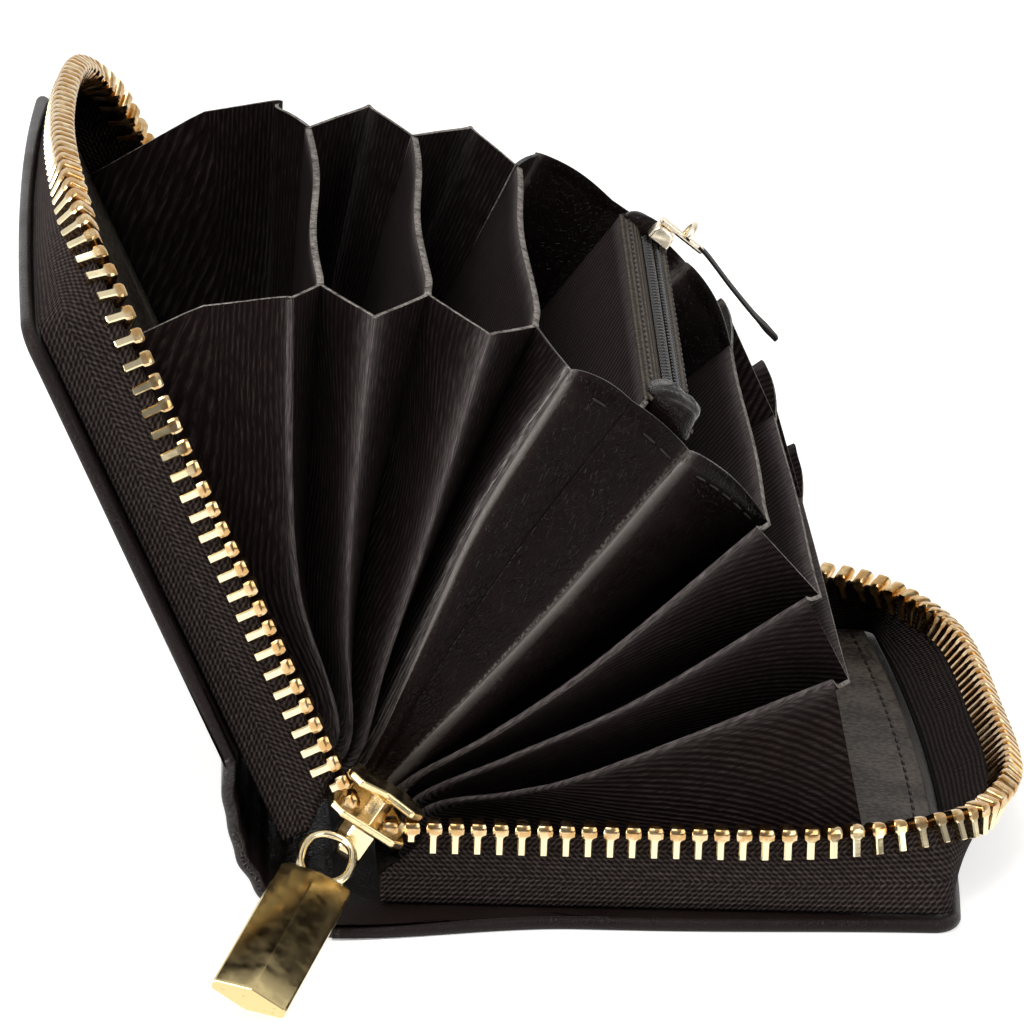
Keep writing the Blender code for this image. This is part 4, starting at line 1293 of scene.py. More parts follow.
@dataclass
class CoverSet:
    """One cover with its lining, stitching, tape and teeth."""

    cover: CoverFrame
    start: float
    first_tooth: float
    lip: float = 0.0
    margin: float = 0.0011
    ledge: float = 0.0024
    lining_start: float = 0.0015
    lining_inset: float = 0.0014
    stitch_inset: float = 0.0034

    def build(self) -> None:
        """Build and attach every piece of the cover."""
        case = self.cover.case
        body = self.cover.body
        hide = Plate(self.cover, self.start, self.margin, -case.half_depth, case.leather, self.ledge,
                     self.lip)
        shell = hide.build(body + "_shell", POLISHED)
        attach(shell, body, Slot.LEATHER, body + "_cover")
        lining = Plate(self.cover, self.lining_start, -self.lining_inset, -case.inner_face, case.lining,
                       arc=5)
        panel = lining.build(body + "_panel", PEBBLED)
        attach(panel, body, Slot.LINING, body + "_lining")
        line = Plate(self.cover, self.lining_start, -self.stitch_inset, -case.inner_face, case.lining)
        u, v = line.outline()
        thread = StitchLine(self.cover, -case.lining_top).build(body + "_stitches", u, v)
        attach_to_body(thread, body)
        ZipTape(self.cover).build()
        ToothRow(self.cover, self.first_tooth).build()
        LOG.info("cover set %s", body)


@dataclass
class Spine:
    """Soft leather back that runs from the lower cover round to the upper cover."""

    lower: CoverFrame
    upper: CoverFrame
    lower_start: float = -0.004
    upper_start: float = 0.013
    back: float = 0.0172
    low_share: float = 0.7
    high_share: float = 0.62
    margin: float = 0.0035
    lip: float = 0.005
    overlap: float = 0.0008
    steps: int = 90

    def build(self) -> Piece:
        """Closed shell: a cubic curve across the back, with a rounded strip section carried along it.

        The section lies along the spine direction, flat outside and inside with a half-round at each end.
        Shallow folds follow sines along the curve.

        Returns:
            The object.
        """
        case = self.lower.case
        half = case.half_depth
        start = np.array([self.lower_start + self.overlap, 0.0, 0.0])
        end = self.upper.place(np.array(self.upper_start + self.overlap), np.array(0.0), np.array(-half))
        low = np.array([-self.back * self.low_share, 0.0, 0.0])
        high = np.array([-self.back, 0.0, half * self.high_share])
        t = np.linspace(0.0, 1.0, self.steps)[:, None]
        s = 1.0 - t
        curve = start * s ** 3 + low * 3 * s * s * t + high * 3 * s * t * t + end * t ** 3
        ahead = unit(np.gradient(curve, axis=0))
        normal = np.stack([ahead[:, 2], np.zeros(self.steps), -ahead[:, 0]], axis=1)
        normal[0] = (0.0, 0.0, 1.0)
        normal[-1] = self.upper.inward
        middle = curve + normal * case.leather / 2.0
        radius = case.leather * 0.48
        turn = np.linspace(math.pi / 2.0, -math.pi / 2.0, 9)
        near = -self.margin - self.lip * (1.0 - smooth(t * 1.25))
        far = case.length + self.margin
        flat = np.linspace(0.0, 1.0, 60)[1:-1]
        span = far - near - 2 * radius
        y = np.concatenate([far - radius + radius * np.cos(turn) + 0.0 * near, far - radius - span * flat,
                            near + radius - radius * np.cos(turn[::-1]), near + radius + span * flat], axis=1)
        low_face = np.full(len(flat), -radius)
        off = np.concatenate([radius * np.sin(turn), low_face, radius * np.sin(turn[::-1]), -low_face])
        share = t[:, 0]
        fade = 0.0002 * np.sin(math.pi * share) ** 0.5
        wave = (np.sin(share * 34.0) * fade)[:, None] * np.sin(y * 60.0 + share[:, None] * 9.0)
        rings = middle[:, None] + normal[:, None] * (off[None, :] + wave)[..., None]
        rings[..., 1] = y
        made = loft("spine_back", rings, SPINE_HIDE)
        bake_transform(made)
        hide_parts("spine_leather")
        LOG.info("spine")
        return made


# Fan of dividers, pocket and pleats

FAN_BODIES = ("lower", "divider_1", "divider_2", "divider_3", "pocket", "divider_4", "divider_5", "divider_6",
              "upper")
LEFT_BEND = (0.86, (-20.1, 6.0, 69.2), (-19.9, 109.0, 69.6))
# Low finish, high finish, cut edge and form of each pleat, from the lower cover up
# In each form, the rubbed roll on the ridge is also a painted highlight, and the seam's pale thread dashes
# are also a painted glint along the crease.
PLEAT_TABLE = (
    (LOWER_CLOTH, LOWER_CLOTH, RAW, {"roll": 0.0009, "ridge_wear_and_sheen": 0.7, "bulge": 0.0006, "crest": (0.0, 0.0004)}),
    (LOWER_CLOTH, LOWER_CLOTH, RAW, {"roll": 0.001, "ridge_wear_and_sheen": 0.8, "bulge": 0.0004, "crest": (0.0, 0.0006)}),
    (LOWER_CLOTH, SKIVER, RAW, {"roll": 0.0011, "ridge_wear_and_sheen": 0.9, "bulge": 0.0004, "crest": (0.0, 0.0006),
                                "seam": 1.0}),
    (SKIVER, SKIVER, SKIVER, {"roll": 0.0014, "ridge_wear_and_sheen": 0.95, "bulge": -0.0006, "crest": (0.0012, 0.0005),
                              "seam": 0.3, "hem": (0.00025, 0.00025)}),
    (SKIVER, GUSSET_CLOTH, SKIVER, {"roll": 0.0011, "ridge_wear_and_sheen": 0.95, "bulge": -0.0005, "crest": (0.0008, 0.0),
                                    "seam": 0.8, "hem": (0.00025, 0.0)}),
    (GUSSET_CLOTH, GUSSET_CLOTH, RAW, {"roll": 0.0014, "ridge_wear_and_sheen": 0.8}),
    (GUSSET_CLOTH, GUSSET_CLOTH, RAW, {"roll": 0.0015, "ridge_wear_and_sheen": 0.85}),
    (GUSSET_CLOTH, GUSSET_CLOTH, RAW, {"roll": 0.0011, "ridge_wear_and_sheen": 0.8, "bulge": 0.0002, "bend": LEFT_BEND}),
)


@dataclass
class FanShape:
    """Roots and angles of the fan's leaves, as in the solid parts."""

    case: CaseShape
    lower: CoverFrame
    upper: CoverFrame
    divider: float = 0.0008
    pocket_depth: float = 0.007
    stack_start: float = 0.0043
    near: float = 0.0165
    far_margin: float = 0.0164
    angles: tuple = (21.6, 31.0, 40.2, 53.2, 66.4, 77.4, 88.3)
    heights: tuple = (0.055, 0.0563, 0.0563, 0.0575, 0.0588, 0.0583, 0.0577)
    pocket: int = 3
    roots: Array = field(init=False)

    def __post_init__(self) -> None:
        """Chain the roots.

        Each step is the spacing of the shut stack, square to the mean of two neighbours.
        """
        count = len(self.angles)
        thick = np.full(count, self.divider)
        thick[self.pocket] = self.pocket_depth
        room = 2.0 * self.case.lining_top
        gap = (room - thick.sum()) / (count + 1)
        used = np.concatenate([[0.0], np.cumsum(thick + gap)[:-1]])
        levels = np.concatenate([[0.0], used + gap + thick / 2.0, [room]])
        angles = np.radians(np.concatenate([[0.0], self.angles, [math.degrees(self.case.open_angle)]]))
        mean = (angles[1:] + angles[:-1]) / 2.0 + math.pi / 2.0
        steps = np.stack([np.cos(mean), np.zeros(len(mean)), np.sin(mean)], axis=1) * np.diff(levels)[:, None]
        first = self.lower.place(np.array(self.stack_start), np.array(0.0), np.array(-self.case.lining_top))
        last = self.upper.place(np.array(self.stack_start), np.array(0.0), np.array(-self.case.lining_top))
        chain = first + np.concatenate([np.zeros((1, 3)), np.cumsum(steps, axis=0)])
        share = np.linspace(0.0, 1.0, len(chain))[:, None]
        self.roots = (chain + (last - chain[-1]) * share)[1:-1]

    @property
    def far(self) -> float:
        """Far end of the leaves."""
        return self.case.length - self.far_margin

    def out(self, k: int) -> Array:
        """Direction of a leaf away from its root."""
        return heading(math.radians(self.angles[k]))

    def side(self, k: int) -> Array:
        """Direction square to a leaf, towards the upper cover."""
        return heading(math.radians(self.angles[k]) + math.pi / 2.0)

    def leaf(self, k: int, r: Array, m: Array, y: Array) -> Array:
        """World places on a leaf.

        Args:
            k: Index of the leaf.
            r: Distances from its root.
            m: Distances square to it.
            y: Places along the spine.

        Returns:
            Places in the world.
        """
        r, m, y = np.broadcast_arrays(r, m, y)
        on_leaf = r[..., None] * self.out(k) + m[..., None] * self.side(k)
        return self.roots[k] + on_leaf + y[..., None] * ALONG_SPINE


@dataclass
class LeafCard:
    """One card divider: a cloth-covered leaf with a raw top edge."""

    fan: FanShape
    index: int
    name: str
    body: str
    near_top: tuple
    far_top: tuple
    bow: float
    thickness: float = 0.0008
    rows: int = 46
    cols: int = 60

    def build(self) -> Piece:
        """Sheet ruled from the root line to the top edge, bowed by a sine across its height.

        The top edge runs from the near mark to the far mark with a slight wave along the spine.

        Returns:
            The object.
        """
        fan = self.fan
        k = self.index
        y = np.linspace(fan.near, fan.far, self.cols)
        share = (y - fan.near) / (fan.far - fan.near)
        top = np.array([[self.near_top[0], 0.0, self.near_top[1]]]) * (1.0 - share[:, None])
        top = (top + np.array([[self.far_top[0], 0.0, self.far_top[1]]]) * share[:, None]) * MM
        wave = 0.00045 * np.sin(share * 7.0 + k) * smooth(share / 0.1)
        top = top + fan.side(k) * wave[:, None]
        root = fan.leaf(k, np.full(self.cols, 0.002), np.zeros(self.cols), np.zeros(self.cols))
        up = np.linspace(0.0, 1.0, self.rows)[:, None, None]
        bulge = self.bow * np.sin(math.pi * up) * (0.6 + 0.4 * np.sin(share * 3.1)[None, :, None])
        grid = root[None] * (1.0 - up) + top[None] * up + fan.side(k) * bulge
        grid[..., 1] = y
        height = np.linalg.norm(top - root, axis=1)
        uv = np.stack(np.broadcast_arrays(y[None, :], up[..., 0] * height[None, :]), axis=-1)
        worn = 0.8 * smooth((up[..., 0] - 0.965) / 0.035) * np.ones((1, self.cols))
        faces = grid_quads(self.rows, self.cols).tolist()
        made = make_piece(self.name + "_leaf", grid, faces, LEAF_CLOTH, uv, {"worn": worn}, closed=False)
        thicken(made, self.thickness, RAW)
        attach(made, self.body, Slot.CLOTH, self.name)
        LOG.info("leaf %s", self.name)
        return made


@dataclass
class PleatPath:
    """Line that a pleat's edge or ridge follows: down the near end, along the root and up the far end."""

    near: Array
    root_near: Array
    root_far: Array
    far: Array
    near_steps: int = 44
    root_steps: int = 12
    crowding: float = 1.7

    def places(self) -> Array:
        """Smooth curve through the near marks, a straight run along the root, and the far marks.

        Returns:
            Places along the line.
        """
        down = flowing(self.near, self.near_steps, self.crowding)
        up = flowing(self.far[::-1], self.near_steps, self.crowding)[::-1]
        share = np.linspace(0.0, 1.0, self.root_steps + 2)[1:-1, None]
        along = self.root_near * (1.0 - share) + self.root_far * share
        return np.concatenate([down, along, up])


@dataclass
class Pleat:
    """One folded gusset between two neighbours of the fan, in cloth or skiver leather."""

    name: str
    low: Array
    ridge: Array
    high: Array
    low_finish: Finish
    high_finish: Finish
    rim: Finish
    roll: float = 0.0006
    # Strength of the paler, rubbed roll on the ridge, which is also its painted highlight.
    ridge_wear_and_sheen: float = 0.7
    bulge: float = 0.0
    crest: tuple = (0.0, 0.0)
    bend: tuple | None = None
    seam: float = 0.0
    hem: tuple = (0.0, 0.0)
    hem_width: float = 0.0009
    bend_depth: float = 0.055
    thickness: float = 0.0005
    cols: int = 41
    grid: Array = field(init=False, default=None)
    edge: Array = field(init=False, default=None)

    def build(self) -> Piece:
        """Sheet across the pleat: low edge, rounded ridge, high edge.

        With q from 0 to 1 across, the pull towards the ridge is the gap between a hyperbola and its
        value at the edges, so the fold is round over the roll width and the panels are nearly flat.
        The base point moves from the low edge to the high edge in a steep step at the ridge.

        Returns:
            The object.
        """
        q = np.linspace(0.0, 1.0, self.cols)
        low_width = np.linalg.norm(self.ridge - self.low, axis=1)
        high_width = np.linalg.norm(self.ridge - self.high, axis=1)
        span = 0.5 * (low_width + high_width)
        soft = np.clip(self.roll / np.maximum(span, 0.001), 0.02, 0.4)[:, None]
        lean = 2.0 * q[None, :] - 1.0
        pull = (np.sqrt(1.0 + soft ** 2) - np.sqrt(lean ** 2 + soft ** 2)) / (np.sqrt(1.0 + soft ** 2) - soft)
        step = 0.5 + 0.5 * np.tanh(lean * 4.0) / math.tanh(4.0)
        base = self.low[:, None] * (1.0 - step)[..., None] + self.high[:, None] * step[..., None]
        grid = base * (1.0 - pull)[..., None] + self.ridge[:, None] * pull[..., None]
        on_low = np.sin(math.pi * np.clip(q * 2.0, 0.0, 1.0))
        on_high = np.sin(math.pi * np.clip(q * 2.0 - 1.0, 0.0, 1.0))
        belly = self.bulge * on_low + self.bulge * on_high
        normal = unit(np.cross(np.gradient(grid, axis=0), np.gradient(grid, axis=1)))
        drop = travelled(self.ridge)
        edge = np.minimum(drop, drop[-1] - drop)[:, None]
        grid = grid + normal * (belly[None, :] * (0.4 + 0.6 * smooth(edge / 0.012)))[..., None]
        grid = self.creased(grid, drop)
        arch = self.crest[0] * on_low + self.crest[1] * on_high
        half = drop[-1] / 2.0
        rise = np.where(drop[:, None] < half, 1.0, -1.0)[..., None] * -unit(np.gradient(grid, axis=0))
        grid = grid + rise * (arch[None, :] * np.exp(-edge / 0.006))[..., None]
        hem = 1.0 - smooth((edge - self.hem_width) / 0.0004)
        folded = np.where(q < 0.5, self.hem[0], self.hem[1])[None, :] * hem
        grid = grid + normal * folded[..., None]
        width = (low_width[:, None] * np.minimum(q * 2.0, 1.0)
                 + high_width[:, None] * np.maximum(q * 2.0 - 1.0, 0.0))
        uv = np.stack(np.broadcast_arrays(width, drop[:, None]), axis=-1)
        offset = lean * span[:, None]
        fade = 0.55 + 0.45 * smooth((half - edge) / 0.02)
        # Worn mark: rubbed roll on the ridge that also paints its highlight; seam mark: pale thread dashes
        # that also paint a glint along the crease.
        worn = self.ridge_wear_and_sheen * np.exp(-(offset / (1.9 * self.roll)) ** 2) * fade
        seam = self.seam * np.exp(-((offset - 1.7 * self.roll) / 0.00028) ** 2)
        self.grid = grid
        self.edge = edge
        faces = grid_quads(len(grid), self.cols)
        made = make_piece(self.name + "_cloth", grid, faces.tolist(), self.low_finish, uv,
                          {"worn": worn, "seam": seam}, closed=False)
        if self.high_finish is not self.low_finish:
            made.data.materials.append(self.high_finish.material())
            upper = (faces[:, 0] % self.cols) >= (self.cols - 1) // 2 + 1
            made.data.polygons.foreach_set("material_index", upper.astype(np.int32))
        thicken(made, self.thickness, self.rim)
        return made

    def creased(self, grid: Array, drop: Array) -> Array:
        """Grid with its second crease, where it has one.

        The places near it move to the crease's marks and the rest follow in straight panels. The
        shift fades towards the root, so only the tops of the panel are bent.

        Args:
            grid: Places before the crease.
            drop: Distance of each row down the near end, along the root and up the far end.

        Returns:
            Places after it.
        """
        if self.bend is None:
            return grid
        share, near, far = self.bend
        q = np.linspace(0.0, 1.0, self.cols)
        edge = 1.0 if share > 0.5 else 0.0
        rise = np.clip((q - edge) / (share - edge), 0.0, 1.0)
        fall = np.clip((q - 0.5) / (share - 0.5), 0.0, 1.0)
        hat = np.where((q > 0.5) == (share > 0.5), np.minimum(rise, fall), 0.0)
        col = int(round(share * (self.cols - 1)))
        near_shift = np.asarray(near) * MM - grid[0, col]
        far_shift = np.asarray(far) * MM - grid[-1, col]
        down = smooth(1.0 - drop / self.bend_depth)
        up = smooth(1.0 - (drop[-1] - drop) / self.bend_depth)
        shift = near_shift[None] * down[:, None] + far_shift[None] * up[:, None]
        return grid + shift[:, None] * hat[None, :, None]

    def stitch_line(self, first: float, last: float, depth: float) -> Array:
        """Line across the near panel at a depth below its top edge.

        Args:
            first: Share across the pleat where it starts.
            last: Share where it ends.
            depth: Distance below the edge.

        Returns:
            Places along the line.
        """
        near = self.edge[: len(self.edge) // 2, 0]
        cols = np.arange(int(first * (self.cols - 1)), int(last * (self.cols - 1)) + 1)
        low = self.grid[: len(near), cols]
        line = np.stack([[np.interp(depth, near, low[:, c, k]) for k in range(3)] for c in range(len(cols))])
        return line + np.array([0.0, -0.0004, 0.0])


@dataclass
class ThreadRun:
    """Row of stitches along a line in space."""

    line: Array
    pitch: float = 0.0026
    stitch: Stitch = field(default_factory=lambda: Stitch(0.0018, 0.00017, 0.4))

    def build(self, name: str) -> Piece:
        """Stitches laid along the line a pitch apart.

        Args:
            name: Name of the piece.

        Returns:
            The object.
        """
        reach = travelled(self.line)
        middle = np.arange(self.pitch * 0.7, reach[-1] - self.pitch * 0.6, self.pitch)
        step = self.pitch / 4.0
        ahead = unit(places_at(self.line, reach, middle + step) - places_at(self.line, reach, middle - step))
        side = unit(np.cross(ahead, np.array([0.31, 0.83, 0.46])))
        spots = places_at(self.line, reach, middle)
        return self.stitch.build(name, spots, ahead, side, np.cross(ahead, side))


@dataclass
class Fan:
    """All leaves and pleats, placed by the photographed top edges and ridge lines.

    Attributes:
        shape: Roots and angles of the leaves.
        leaf_tops: Leaf, near and far top as X and Z in millimetres, and bow in metres.
        ridges: Four marks down the near ridge of each pleat and its far top, in millimetres.
        middle_line: The same for the seam on the coin pocket.
        ridge_depths: Y of the four marks in millimetres.
        far_reach: Y of the far tops in millimetres.
        seats: Reach of the outer pleats' tops on the two covers.
        hems: Shares across the pleat where a hem is stitched, by pleat.
    """

    shape: FanShape
    leaf_tops: tuple = (
        (0, (55.2, 24.4), (57.2, 23.4), -0.0006),
        (1, (51.4, 34.4), (53.3, 34.0), -0.0006),
        (2, (45.0, 42.9), (47.2, 43.2), -0.0005),
        (4, (17.4, 65.4), (19.0, 66.0), 0.0006),
        (5, (5.1, 68.7), (5.9, 69.4), 0.0006),
        (6, (-7.1, 69.5), (-7.0, 70.1), 0.0005),
    )
    ridges: tuple = (
        (((52.1, 27.7), (26.2, 16.3), (16.1, 13.0), (6.7, 10.0)), (57.0, 28.0)),
        (((48.6, 37.3), (30.3, 24.7), (15.9, 17.2), (5.2, 10.9)), (52.3, 39.0)),
        (((42.6, 45.4), (25.6, 29.3), (13.6, 19.8), (3.2, 12.1)), (46.6, 47.0)),
        (((34.5, 53.8), (20.8, 36.2), (10.6, 23.9), (1.7, 13.0)), (42.0, 51.3)),
        (((21.0, 62.8), (11.4, 45.3), (5.8, 30.8), (-0.3, 14.4)), (22.2, 65.3)),
        (((11.7, 66.8), (4.8, 40.5), (1.2, 27.2), (-1.6, 15.3)), (13.7, 68.5)),
        (((-1.2, 68.4), (-3.0, 44.9), (-3.1, 30.6), (-2.5, 16.7)), (0.7, 70.9)),
        (((-10.7, 70.2), (-10.1, 49.4), (-8.5, 35.2), (-3.6, 18.5)), (-10.7, 70.9)),
    )
    middle_line: tuple = (((27.9, 59.6), (16.0, 42.5), (8.1, 29.1), (0.4, 13.8)), (32.0, 59.5))
    ridge_depths: tuple = (5.25, 5.6, 6.6, 9.5)
    far_reach: float = 109.25
    root_setback: float = 0.0014
    gathered: float = 0.002
    hem_depth: float = 0.0021
    seat_end: float = 0.0082
    seat_lift: float = 0.0006
    seats: tuple = (0.0583, 0.0595)
    squash_at: tuple = (0.03, 0.057)
    hems: dict = field(default_factory=lambda: {4: ((0.07, 0.42), (0.58, 0.93)), 5: ((0.08, 0.42),)})

    def leaves(self) -> None:
        """Build the six card dividers."""
        for index, near_top, far_top, bow in self.leaf_tops:
            body = FAN_BODIES[index + 1]
            LeafCard(self.shape, index, "card_" + body, body, near_top, far_top, bow).build()

    def seat(self, cover: CoverFrame, u: float, y: float) -> Array:
        """Place on a cover's lining."""
        return cover.place(np.array(u), np.array(y), np.array(self.seat_lift - self.shape.case.lining_top))

    def straight(self, tops: list, low: Array, high: Array) -> Array:
        """Path with straight ends.

        Args:
            tops: Near and far top.
            low: Near end of the root line.
            high: Far end of the root line.

        Returns:
            Places down from the near top, along the root and up to the far top.
        """
        shares = (0.0, 0.33, 0.66, 1.0)
        near = np.stack([tops[0] * (1.0 - s) + low * s for s in shares])
        far = np.stack([high * (1.0 - s) + tops[1] * s for s in shares])
        return PleatPath(near, low, high, far).places()

    def edge_path(self, k: int, near_top: tuple, far_top: tuple) -> Array:
        """Path that follows a leaf's near edge, root and far edge.

        Args:
            k: Index of the leaf.
            near_top: X and Z of the top of its near edge in millimetres.
            far_top: X and Z of the top of its far edge in millimetres.

        Returns:
            Places along the path.
        """
        shape = self.shape
        near_y = shape.near - 0.0004
        far_y = shape.far + 0.0004
        foot = shape.leaf(k, np.array(0.0016), np.array(0.0), np.array(0.0))
        tops = [np.array([t[0] * MM, y, t[1] * MM]) for t, y in ((near_top, near_y), (far_top, far_y))]
        return self.straight(tops, foot + near_y * ALONG_SPINE, foot + far_y * ALONG_SPINE)

    def line_path(self, marks: tuple, far_top: tuple, root: Array) -> Array:
        """Path of a ridge: through the near marks to the root, along it, and up to the far top.

        Args:
            marks: X and Z of four marks down the near ridge, in millimetres.
            far_top: X and Z of the far top, in millimetres.
            root: Place of the fold at the root, at Y of 0.

        Returns:
            Places along the path.
        """
        points = [np.array([x, y, z]) * MM for (x, z), y in zip(marks, self.ridge_depths)]
        low = root + (self.shape.near - self.gathered) * ALONG_SPINE
        high = root + (self.shape.far + self.gathered) * ALONG_SPINE
        top = np.array([far_top[0], self.far_reach, far_top[1]]) * MM
        gather = (high * 0.78 + top * 0.22) + 0.003 * ALONG_SPINE
        middle = (high * 0.4 + top * 0.6) + 0.0035 * ALONG_SPINE
        return PleatPath(np.stack(points + [low]), low, high, np.stack([high, gather, middle, top])).places()

    def seat_path(self, cover: CoverFrame, reach: float) -> Array:
        """Path of a pleat's edge sewn on a cover's lining, from near to far.

        Args:
            cover: Cover that carries the edge.
            reach: Distance of its top from the hinge line.

        Returns:
            Places along the path.
        """
        near_y = self.seat_end
        far_y = self.shape.case.length - self.seat_end
        root = self.shape.stack_start + 0.002
        tops = [self.seat(cover, reach, y) for y in (near_y, far_y)]
        low = self.seat(cover, root, near_y + 0.004)
        high = self.seat(cover, root, far_y - 0.004)
        return self.straight(tops, low, high)

    def fold_root(self, a: Array, b: Array) -> Array:
        """Fold at the root between two neighbours, set back towards the spine."""
        middle = (a + b) / 2.0
        return middle + unit(middle - np.array([0.012, 0.0, 0.024])) * self.root_setback

    def pleats(self) -> None:
        """Build the eight pleats from the ridges and the leaves' edges."""
        shape = self.shape
        start = np.array(shape.stack_start)
        level = np.array(-shape.case.lining_top)
        ends = [cover.place(start, np.array(0.0), level) for cover in (shape.lower, shape.upper)]
        roots = [ends[0], *shape.roots, ends[1]]
        borders = [self.seat_path(shape.lower, self.seats[0])]
        borders += [self.edge_path(k, near, far) for k, near, far, _ in self.leaf_tops]
        borders.insert(4, self.line_path(*self.middle_line, shape.roots[3] + shape.out(3) * 0.0015))
        borders.append(self.seat_path(shape.upper, self.seats[1]))
        for k, (low_finish, high_finish, rim, extra) in enumerate(PLEAT_TABLE, 1):
            low, high = borders[k - 1:k + 1]
            ridge = self.line_path(*self.ridges[k - 1], self.fold_root(roots[k - 1], roots[k]))
            self.pleat(k, Pleat("pleat_%d" % k, low, ridge, high, low_finish, high_finish, rim, **extra))

    def pleat(self, k: int, pleat: Pleat) -> None:
        """Build one pleat: the last rides on the upper cover, the others stay fixed in the world, with their
        hem stitches where they have them.

        Args:
            k: Its number from the lower cover.
            pleat: Its form.
        """
        low, high = pleat.low, pleat.high
        made = pleat.build()
        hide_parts(pleat.name)
        if k == len(PLEAT_TABLE):
            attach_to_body(made, "upper")
            cover = self.shape.upper
            anchor = self.seat(cover, *self.squash_at)
            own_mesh(made)
        else:
            start = (low[:22].mean(0) + low[-22:].mean(0)) / 2.0
            end = (high[:22].mean(0) + high[-22:].mean(0)) / 2.0
            start[1] = end[1] = self.shape.case.length / 2.0
            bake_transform(made)
            for n, (first, last) in enumerate(self.hems.get(k, ())):
                line = pleat.stitch_line(first, last, self.hem_depth)
                thread = ThreadRun(line).build("%s_hem_stitches_%d" % (pleat.name, n))
                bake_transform(thread)
        LOG.info("pleat %d", k)


# Coin pocket


